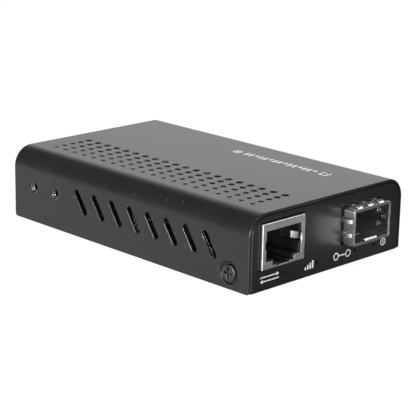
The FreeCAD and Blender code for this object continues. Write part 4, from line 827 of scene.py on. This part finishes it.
@dataclass
class VentLips:
    """Coated, slanting lip that the punch leaves in the mouth of every round vent."""

    rows: int = 5
    columns: int = 20
    first_row_mm: float = -21.77
    row_pitch_mm: float = 3.166
    column_pitch_mm: float = 4.294
    smallest_mm: float = 1.2
    growth_mm: float = 0.2
    start_mm: float = 0.03
    end_mm: float = 0.16
    slant_mm: float = 0.12
    facets: int = 24
    sharp_deg: float = 35.0

    def lip(self, radius: float) -> Mesh:
        """One ring, wedge-shaped in section.

        Args:
            radius: Radius of the vent in mm.

        Returns:
            Its mesh, with the vent's mouth at the origin.
        """
        form = bmesh.new()
        section = ((radius, -self.start_mm), (radius, -self.end_mm), (radius - self.slant_mm, -self.end_mm))
        turns = [2 * math.pi * step / self.facets for step in range(self.facets)]
        rings = [[form.verts.new((size * math.cos(turn) * MM, size * math.sin(turn) * MM, up * MM))
                  for turn in turns] for size, up in section]
        for index in range(self.facets):
            after = (index + 1) % self.facets
            for row, ring in enumerate(rings):
                below = rings[(row + 1) % len(rings)]
                form.faces.new((ring[index], ring[after], below[after], below[index]))
        bmesh.ops.recalc_face_normals(form, faces=form.faces)
        return settled(form, "vent_lip")

    def build(self, finish: Material) -> None:
        """Repeat the lips along every row of vents.

        Args:
            finish: Material of the lips.
        """
        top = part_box("top_cover")[1][2]
        first = -(self.columns - 1) * self.column_pitch_mm * MM / 2
        tree = row_tree()
        meshes = []
        for row in range(self.rows):
            radius = (self.smallest_mm + row * self.growth_mm) / 2
            across = (self.first_row_mm + row * self.row_pitch_mm) * MM
            meshes.append(finished_mesh(self.lip(radius), tree, {
                "Count": self.columns, "Start": (across, first, top),
                "Step": (0.0, self.column_pitch_mm * MM, 0.0), "Turn": (0.0, 0.0, 0.0), "Finish": finish}))
        place_piece("vent_lips", smoothed(joined(meshes), self.sharp_deg), "case_paint", finish)


class Sign(Enum):
    """Plain printed signs, each with its own strokes."""

    ARROWS = "two arrows, one each way"
    BARS = "four rising bars"
    RINGS = "two rings joined by a line"
    SWITCH = "ring round a short bar"
    CONVERTER = "square, a train of pulses and a ring"


@dataclass
class PrintedMark:
    """One printed sign on a flat face, drawn from plain strokes."""

    sign: Sign
    corner_mm: Point
    length_mm: float
    height_mm: float
    along: Point = (1.0, 0.0, 0.0)
    above: Point = (0.0, 0.0, 1.0)
    outward: Point = (0.0, -1.0, 0.0)
    stroke_mm: float = 0.34
    ink_mm: float = 0.02
    facets: int = 36
    # Arrows: half height of the head as a share of the sign's height, and its length in half heights.
    head_share: float = 0.24
    head_length: float = 1.7
    # Rising bars: how many, the first one's height in steps, and the share of a step that is inked.
    bar_count: int = 4
    bar_first: float = 1.6
    bar_share: float = 0.62
    # Switch: where its bar starts and ends, as shares of the sign's height.
    switch_ends: Pair = (0.25, 0.75)
    # Converter: the square's tab and the ring's core, as shares of the height and of the radius.
    tab_share: float = 0.3
    core_share: float = 0.45
    # Pulses: how many, their width in strokes, and their margins, foot and tops as shares of the height.
    pulse_count: int = 15
    pulse_strokes: float = 2.1
    pulse_margin: float = 1.6
    pulse_foot: float = 0.1
    pulse_tops: Point = (0.6, 0.9, 0.9)

    def prism(self, form: BMesh, loops: list[list[Pair]]) -> None:
        """Add a flat closed shape of ink.

        Args:
            form: The shape under construction.
            loops: One outline, or an outer and an inner one with as many points, in mm along and above.
        """
        along, above, outward = (Vector(axis) for axis in (self.along, self.above, self.outward))
        base = Vector(self.corner_mm)
        levels = (-self.ink_mm / 2, self.ink_mm)
        rings = [[[form.verts.new((base + along * point[0] + above * point[1] + outward * level) * MM)
                   for point in loop] for level in levels] for loop in loops]
        steps = [(index, (index + 1) % len(loops[0])) for index in range(len(loops[0]))]
        for foot, top in rings:
            for index, after in steps:
                form.faces.new((foot[index], foot[after], top[after], top[index]))
        for level in (0, 1):
            if len(rings) == 1:
                form.faces.new(rings[0][level])
                continue
            outer, inner = rings[0][level], rings[1][level]
            for index, after in steps:
                form.faces.new((outer[index], outer[after], inner[after], inner[index]))

    def bar(self, form: BMesh, left: float, right: float, low: float, high: float,
            hollow: bool = False) -> None:
        """Add an upright rectangle.

        Args:
            form: The shape under construction.
            left: Its start along the sign.
            right: Its end along the sign.
            low: Its foot.
            high: Its top.
            hollow: Whether only its outline is inked.
        """
        insets = (0.0, self.stroke_mm) if hollow else (0.0,)
        self.prism(form, [[(left + inset, low + inset), (right - inset, low + inset),
                           (right - inset, high - inset), (left + inset, high - inset)] for inset in insets])

    def ring(self, form: BMesh, middle: float, up: float, radius: float) -> None:
        """Add a ring of the stroke's width.

        Args:
            form: The shape under construction.
            middle: Its centre along the sign.
            up: Its centre above the foot.
            radius: Its outer radius.
        """
        turns = [2 * math.pi * step / self.facets for step in range(self.facets)]
        self.prism(form, [[(middle + size * math.cos(turn), up + size * math.sin(turn)) for turn in turns]
                          for size in (radius, radius - self.stroke_mm)])

    def arrow(self, form: BMesh, tail: float, tip: float, up: float, head: float) -> None:
        """Add an arrow along the sign.

        Args:
            form: The shape under construction.
            tail: Start of its shaft.
            tip: Its point.
            up: Its height above the foot.
            head: Half the height of its head.
        """
        way = 1.0 if tip > tail else -1.0
        neck = tip - way * self.head_length * head
        half = self.stroke_mm / 2
        self.prism(form, [[(tail, up - half), (neck, up - half), (neck, up - head), (tip, up),
                           (neck, up + head), (neck, up + half), (tail, up + half)]])

    def draw(self, form: BMesh) -> None:
        """Add the strokes of the sign.

        Args:
            form: The shape under construction.
        """
        length, height, radius = self.length_mm, self.height_mm, self.height_mm / 2
        half = self.stroke_mm / 2
        if self.sign is Sign.ARROWS:
            head = self.head_share * height
            self.arrow(form, 0.0, length, height - head, head)
            self.arrow(form, length, 0.0, head, head)
        elif self.sign is Sign.BARS:
            step = length / self.bar_count
            rise = height / (self.bar_count - 1 + self.bar_first)
            for index in range(self.bar_count):
                left = index * step
                self.bar(form, left, left + self.bar_share * step, 0.0, rise * (index + self.bar_first))
        elif self.sign is Sign.RINGS:
            self.ring(form, radius, radius, radius)
            self.ring(form, length - radius, radius, radius)
            self.bar(form, height, length - height, radius - half, radius + half)
        elif self.sign is Sign.SWITCH:
            low, high = (share * height for share in self.switch_ends)
            self.ring(form, length / 2, radius, radius)
            self.bar(form, length / 2 - half, length / 2 + half, low, high)
        else:
            tab = self.tab_share * height
            margin = self.pulse_margin * height
            self.bar(form, 0.0, height, 0.0, height, hollow=True)
            self.bar(form, tab, height - tab, 0.0, tab)
            step = (length - 2 * margin) / (self.pulse_count - 0.5)
            for index in range(self.pulse_count):
                left = margin + index * step
                top = self.pulse_tops[index % len(self.pulse_tops)] * height
                right = left + self.pulse_strokes * self.stroke_mm
                self.bar(form, left, right, self.pulse_foot * height, top)
            self.ring(form, length - radius, radius, radius)
            self.ring(form, length - radius, radius, self.core_share * radius)

    def build(self, name: str, finish: Material) -> None:
        """Draw the sign as thin closed shapes of ink.

        Args:
            name: The piece's name.
            finish: Material of the ink.
        """
        form = bmesh.new()
        self.draw(form)
        bmesh.ops.recalc_face_normals(form, faces=form.faces)
        place_piece(name, settled(form, name), "case_paint", finish)


# ---------------- studio


@dataclass(frozen=True)
class Glow:
    """Brightness that changes with the heading, which is counted from +X towards +Y."""

    heading_deg: float
    cosines: Pair
    levels: Pair

    def level(self, tree: NodeTree, direction: NodeSocket) -> Node:
        """Work out the brightness towards a direction.

        Args:
            tree: The tree.
            direction: A vector from the object.

        Returns:
            A node that gives the brightness.
        """
        flat = add(tree, "ShaderNodeVectorMath", {0: direction, 1: (1.0, 1.0, 0.0)}, operation="MULTIPLY")
        unit = add(tree, "ShaderNodeVectorMath", {0: flat}, operation="NORMALIZE")
        turn = math.radians(self.heading_deg)
        aim = (math.cos(turn), math.sin(turn), 0.0)
        towards = add(tree, "ShaderNodeVectorMath", {0: unit, 1: aim}, operation="DOT_PRODUCT")
        return add(tree, "ShaderNodeMapRange", {
            "Value": towards.outputs["Value"], "From Min": self.cosines[0], "From Max": self.cosines[1],
            "To Min": self.levels[0], "To Max": self.levels[1]})


@dataclass(frozen=True)
class Lamp:
    """Area lamp, sized in metres: a disc, or a rectangle if it has two sizes."""

    name: str
    place_m: Point
    size_m: tuple[float, ...]
    power_w: float
    aim_m: Point = (0.0, 0.0, 0.0)
    seen: bool = True

    def build(self) -> None:
        """Hang the lamp so that it faces its aim."""
        data = bpy.data.lights.new(self.name, "AREA")
        data.shape = "DISK" if len(self.size_m) == 1 else "RECTANGLE"
        data.size = self.size_m[0]
        data.size_y = self.size_m[-1]
        data.energy = self.power_w
        lamp = linked(self.name, data)
        place = Vector(self.place_m)
        behind = place - Vector(self.aim_m)
        lamp.matrix_world = Matrix.Translation(place) @ behind.to_track_quat("Z", "Y").to_matrix().to_4x4()
        lamp.visible_camera = self.seen


@dataclass
class Studio:
    """Camera, room, pale floor and lamps."""

    azimuth_deg: float = -44.975
    elevation_deg: float = 16.173
    roll_deg: float = -1.156
    distance_mm: float = 422.2
    target_mm: Point = (-7.493, -9.926, 10.7)
    focal_mm: float = 127.82
    nearest_mm: float = 10.0
    # The room: its bright backdrop, and how it dims with the sine of the height.
    backdrop: Glow = Glow(30.0, (0.78, 0.95), (0.25, 1.2))
    dimming_sines: Pair = (0.45, 0.85)
    ceiling_level: float = 0.6
    # What the floor shows to gloss is a painted reflection: an emission that only glossy rays see.
    # The floor, and what it shows to gloss: two sides seen from the case's corner, and a brighter pool.
    floor_mm: float = 4000.0
    floor_gap_mm: float = 0.05
    floor_colour: str = "#e6e6e6"
    corner_mm: Point = (-31.25, -49.0, 0.0)
    dark_side: Glow = Glow(-12.0, (0.62, 0.84), (0.9, 0.2))
    bright_side: Glow = Glow(-135.0, (0.45, 0.9), (0.0, 1.4))
    pool_mm: Point = (25.0, -75.0, 0.0)
    pool_reach_mm: float = 45.0
    pool_level: float = 0.2
    # What the floor shows to the eye: its own white, and a share that takes the shadow.
    white_level: float = 0.93
    shadow_colour: str = "#6a6a6a"
    # Softboxes right, left, front left and overhead. The glint stands for the light that the collar's bright
    # side throws on the panel beside it.
    lamps: tuple[Lamp, ...] = (
        Lamp("key_softbox", (0.55, -0.09, 0.57), (0.24,), 1.0),
        Lamp("left_softbox", (-0.80, -0.02, 0.14), (0.20,), 6.0),
        Lamp("front_softbox", (-0.56, -0.55, 0.13), (0.20,), 3.0),
        Lamp("overhead_softbox", (-0.16, -0.16, 0.76), (0.22,), 1.4),
        Lamp("collar_glint", (0.0046, -0.053, 0.0099), (0.007, 0.008), 0.00026,
             (-0.006, -0.05, 0.0086), seen=False),
    )

    def camera(self) -> None:
        """Place the camera at its angle and distance from the target."""
        turn, rise = math.radians(self.azimuth_deg), math.radians(self.elevation_deg)
        back = Vector((math.sin(turn) * math.cos(rise), -math.cos(turn) * math.cos(rise), math.sin(rise)))
        right = Vector((math.cos(turn), math.sin(turn), 0.0))
        up = back.cross(right)
        roll = math.radians(self.roll_deg)
        across = right * math.cos(roll) - up * math.sin(roll)
        above = right * math.sin(roll) + up * math.cos(roll)
        data = bpy.data.cameras.new("camera")
        data.lens = self.focal_mm
        data.clip_start = self.nearest_mm * MM
        camera = linked("camera", data)
        place = (Vector(self.target_mm) + back * self.distance_mm) * MM
        turned = Matrix((across, above, back)).transposed().to_4x4()
        camera.matrix_world = Matrix.Translation(place) @ turned
        bpy.context.scene.camera = camera

    def world(self) -> None:
        """White to the eye; for light and gloss, bright low down behind the object and dimmer elsewhere."""
        world = bpy.data.worlds.new("world")
        world.use_nodes = True
        bpy.context.scene.world = world
        tree = world.node_tree
        tree.nodes.clear()
        direction = add(tree, "ShaderNodeTexCoord").outputs["Generated"]
        glow = self.backdrop.level(tree, direction)
        height = add(tree, "ShaderNodeSeparateXYZ", {"Vector": direction}).outputs["Z"]
        low = add(tree, "ShaderNodeMapRange", {
            "Value": height, "From Min": self.dimming_sines[0], "From Max": self.dimming_sines[1],
            "To Min": 1.0, "To Max": self.ceiling_level}, interpolation_type="SMOOTHSTEP")
        level = add(tree, "ShaderNodeMath", {0: glow, 1: low}, operation="MULTIPLY")
        seen = add(tree, "ShaderNodeLightPath").outputs["Is Camera Ray"]
        strength = add(tree, "ShaderNodeMix", {0: seen, 2: level, 3: 1.0}, data_type="FLOAT")
        lit = add(tree, "ShaderNodeBackground", {"Color": (1.0, 1.0, 1.0, 1.0), "Strength": strength})
        add(tree, "ShaderNodeOutputWorld", {"Surface": lit})

    def painted_reflection(self, tree: NodeTree) -> Node:
        """Work out what the floor shows to gloss.

        Args:
            tree: The floor's material tree.

        Returns:
            The shader node, the emission of the painted reflection.
        """
        # Painted reflection: emission for glossy rays, darker or brighter by side, and brighter in a pool.
        place = add(tree, "ShaderNodeTexCoord").outputs["Object"]
        corner = tuple(Vector(self.corner_mm) * MM)
        away = add(tree, "ShaderNodeVectorMath", {0: place, 1: corner}, operation="SUBTRACT").outputs[0]
        base = self.dark_side.level(tree, away)
        extra = self.bright_side.level(tree, away)
        sides = add(tree, "ShaderNodeMath", {0: base, 1: extra}, operation="ADD")
        middle = tuple(Vector(self.pool_mm) * MM)
        apart = add(tree, "ShaderNodeVectorMath", {0: place, 1: middle}, operation="DISTANCE")
        pool = add(tree, "ShaderNodeMapRange", {
            "Value": apart.outputs["Value"], "From Min": 0.0, "From Max": self.pool_reach_mm * MM,
            "To Min": self.pool_level, "To Max": 0.0}, interpolation_type="SMOOTHSTEP")
        glow = add(tree, "ShaderNodeMath", {0: sides, 1: pool}, operation="ADD")
        return add(tree, "ShaderNodeEmission", {"Strength": glow})

    def floor(self) -> None:
        """Large pale floor that looks white, keeps a soft shadow, and is clear from below."""
        half = self.floor_mm * MM / 2
        level = -self.floor_gap_mm * MM
        corners = [(-half, -half, level), (half, -half, level), (half, half, level), (-half, half, level)]
        mesh = bpy.data.meshes.new("floor")
        mesh.from_pydata(corners, [], [(0, 1, 2, 3)])
        floor = linked("floor", mesh)
        material = bpy.data.materials.new("pale_floor")
        material.use_nodes = True
        tree = material.node_tree
        tree.nodes.clear()
        pale = add(tree, "ShaderNodeBsdfDiffuse", {"Color": linear(self.floor_colour)})
        white = add(tree, "ShaderNodeEmission", {"Strength": self.white_level})
        soft = add(tree, "ShaderNodeBsdfDiffuse", {"Color": linear(self.shadow_colour)})
        eye = add(tree, "ShaderNodeAddShader", {0: white, 1: soft})
        path = add(tree, "ShaderNodeLightPath")
        shine = self.painted_reflection(tree)
        gloss = add(tree, "ShaderNodeMixShader", {0: path.outputs["Is Glossy Ray"], 1: pale, 2: shine})
        whole = add(tree, "ShaderNodeMixShader", {0: path.outputs["Is Camera Ray"], 1: gloss, 2: eye})
        below = add(tree, "ShaderNodeNewGeometry").outputs["Backfacing"]
        clear = add(tree, "ShaderNodeBsdfTransparent")
        sided = add(tree, "ShaderNodeMixShader", {0: below, 1: whole, 2: clear})
        add(tree, "ShaderNodeOutputMaterial", {"Surface": sided})
        mesh.materials.append(material)

    def build(self) -> None:
        """Set up the whole studio."""
        bpy.context.scene.view_settings.view_transform = "Standard"
        self.camera()
        self.world()
        self.floor()
        for lamp in self.lamps:
            lamp.build()


# ---------------- the whole object

SHEETS = (
    FormedSheet("top_cover", "coated_cover", "case_paint", seat_mm=0.4),
    FormedSheet("base_tray", "coated_tray", "case_paint", clamped=True, sharp_deg=3.0),
    FormedSheet("rj45_shell", "folded_port_shield", "port_shield", edge_mm=0.1, fold_mm=0.24),
    FormedSheet("rj45_housing", "moulded_port_insert", "port_insert", edge_mm=0.12),
    FormedSheet("sfp_cage", "pressed_fibre_cage", "cage_metal", edge_mm=0.1),
    FormedSheet("cover_screws", "black_cover_screws", "screw_black", edge_mm=0.08),
)


def dress_frame(frame: dict[str, Any], finishes: dict[str, Material]) -> None:
    """Give every node of the frame the finish of its slot.

    Args:
        finishes: Material of each slot.
    """
    for part in frame["record"]["subparts"]:
        piece = frame["nodes"][part["node"]]
        piece.data.materials.clear()
        piece.data.materials.append(finishes[part["material_slot"]])
        log.info("%s: %s", part["node"], part["material_slot"])


def main() -> None:
    """Load the frame, set up the studio, dress the frame and add the made pieces."""
    logging.basicConfig(level=logging.INFO, format="%(message)s")
    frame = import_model()
    Studio().build()
    finishes = {slot: finish.build() for slot, finish in SLOT_FINISH.items()}
    dress_frame(frame, finishes)
    for sheet in SHEETS:
        sheet.build(frame, finishes[sheet.slot])
    SprungCollar().build(finishes["cage_metal"])
    BracketThreads().build(finishes["plated_steel"])
    VentLips().build(finishes["case_paint"])
    ink = PRINT.build()
    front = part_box("base_tray")[0][1] / MM
    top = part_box("top_cover")[1][2] / MM
    signs = {
        "copper_lamp_sign": PrintedMark(Sign.ARROWS, (-26.8, front, 2.1), 7.2, 2.3),
        "speed_lamp_sign": PrintedMark(Sign.BARS, (-9.4, front, 2.2), 3.9, 2.2),
        "fibre_lamp_sign": PrintedMark(Sign.RINGS, (2.4, front, 2.2), 7.2, 2.2),
        "power_lamp_sign": PrintedMark(Sign.SWITCH, (21.6, front, 2.3), 4.4, 2.3),
        "converter_sign": PrintedMark(
            Sign.CONVERTER, (17.4, -34.75, top), 37.5, 3.1,
            (0.0, 1.0, 0.0), (-1.0, 0.0, 0.0), (0.0, 0.0, 1.0), 0.55),
    }
    for name, sign in signs.items():
        sign.build(name, ink)


if __name__ == "__main__":
    main()
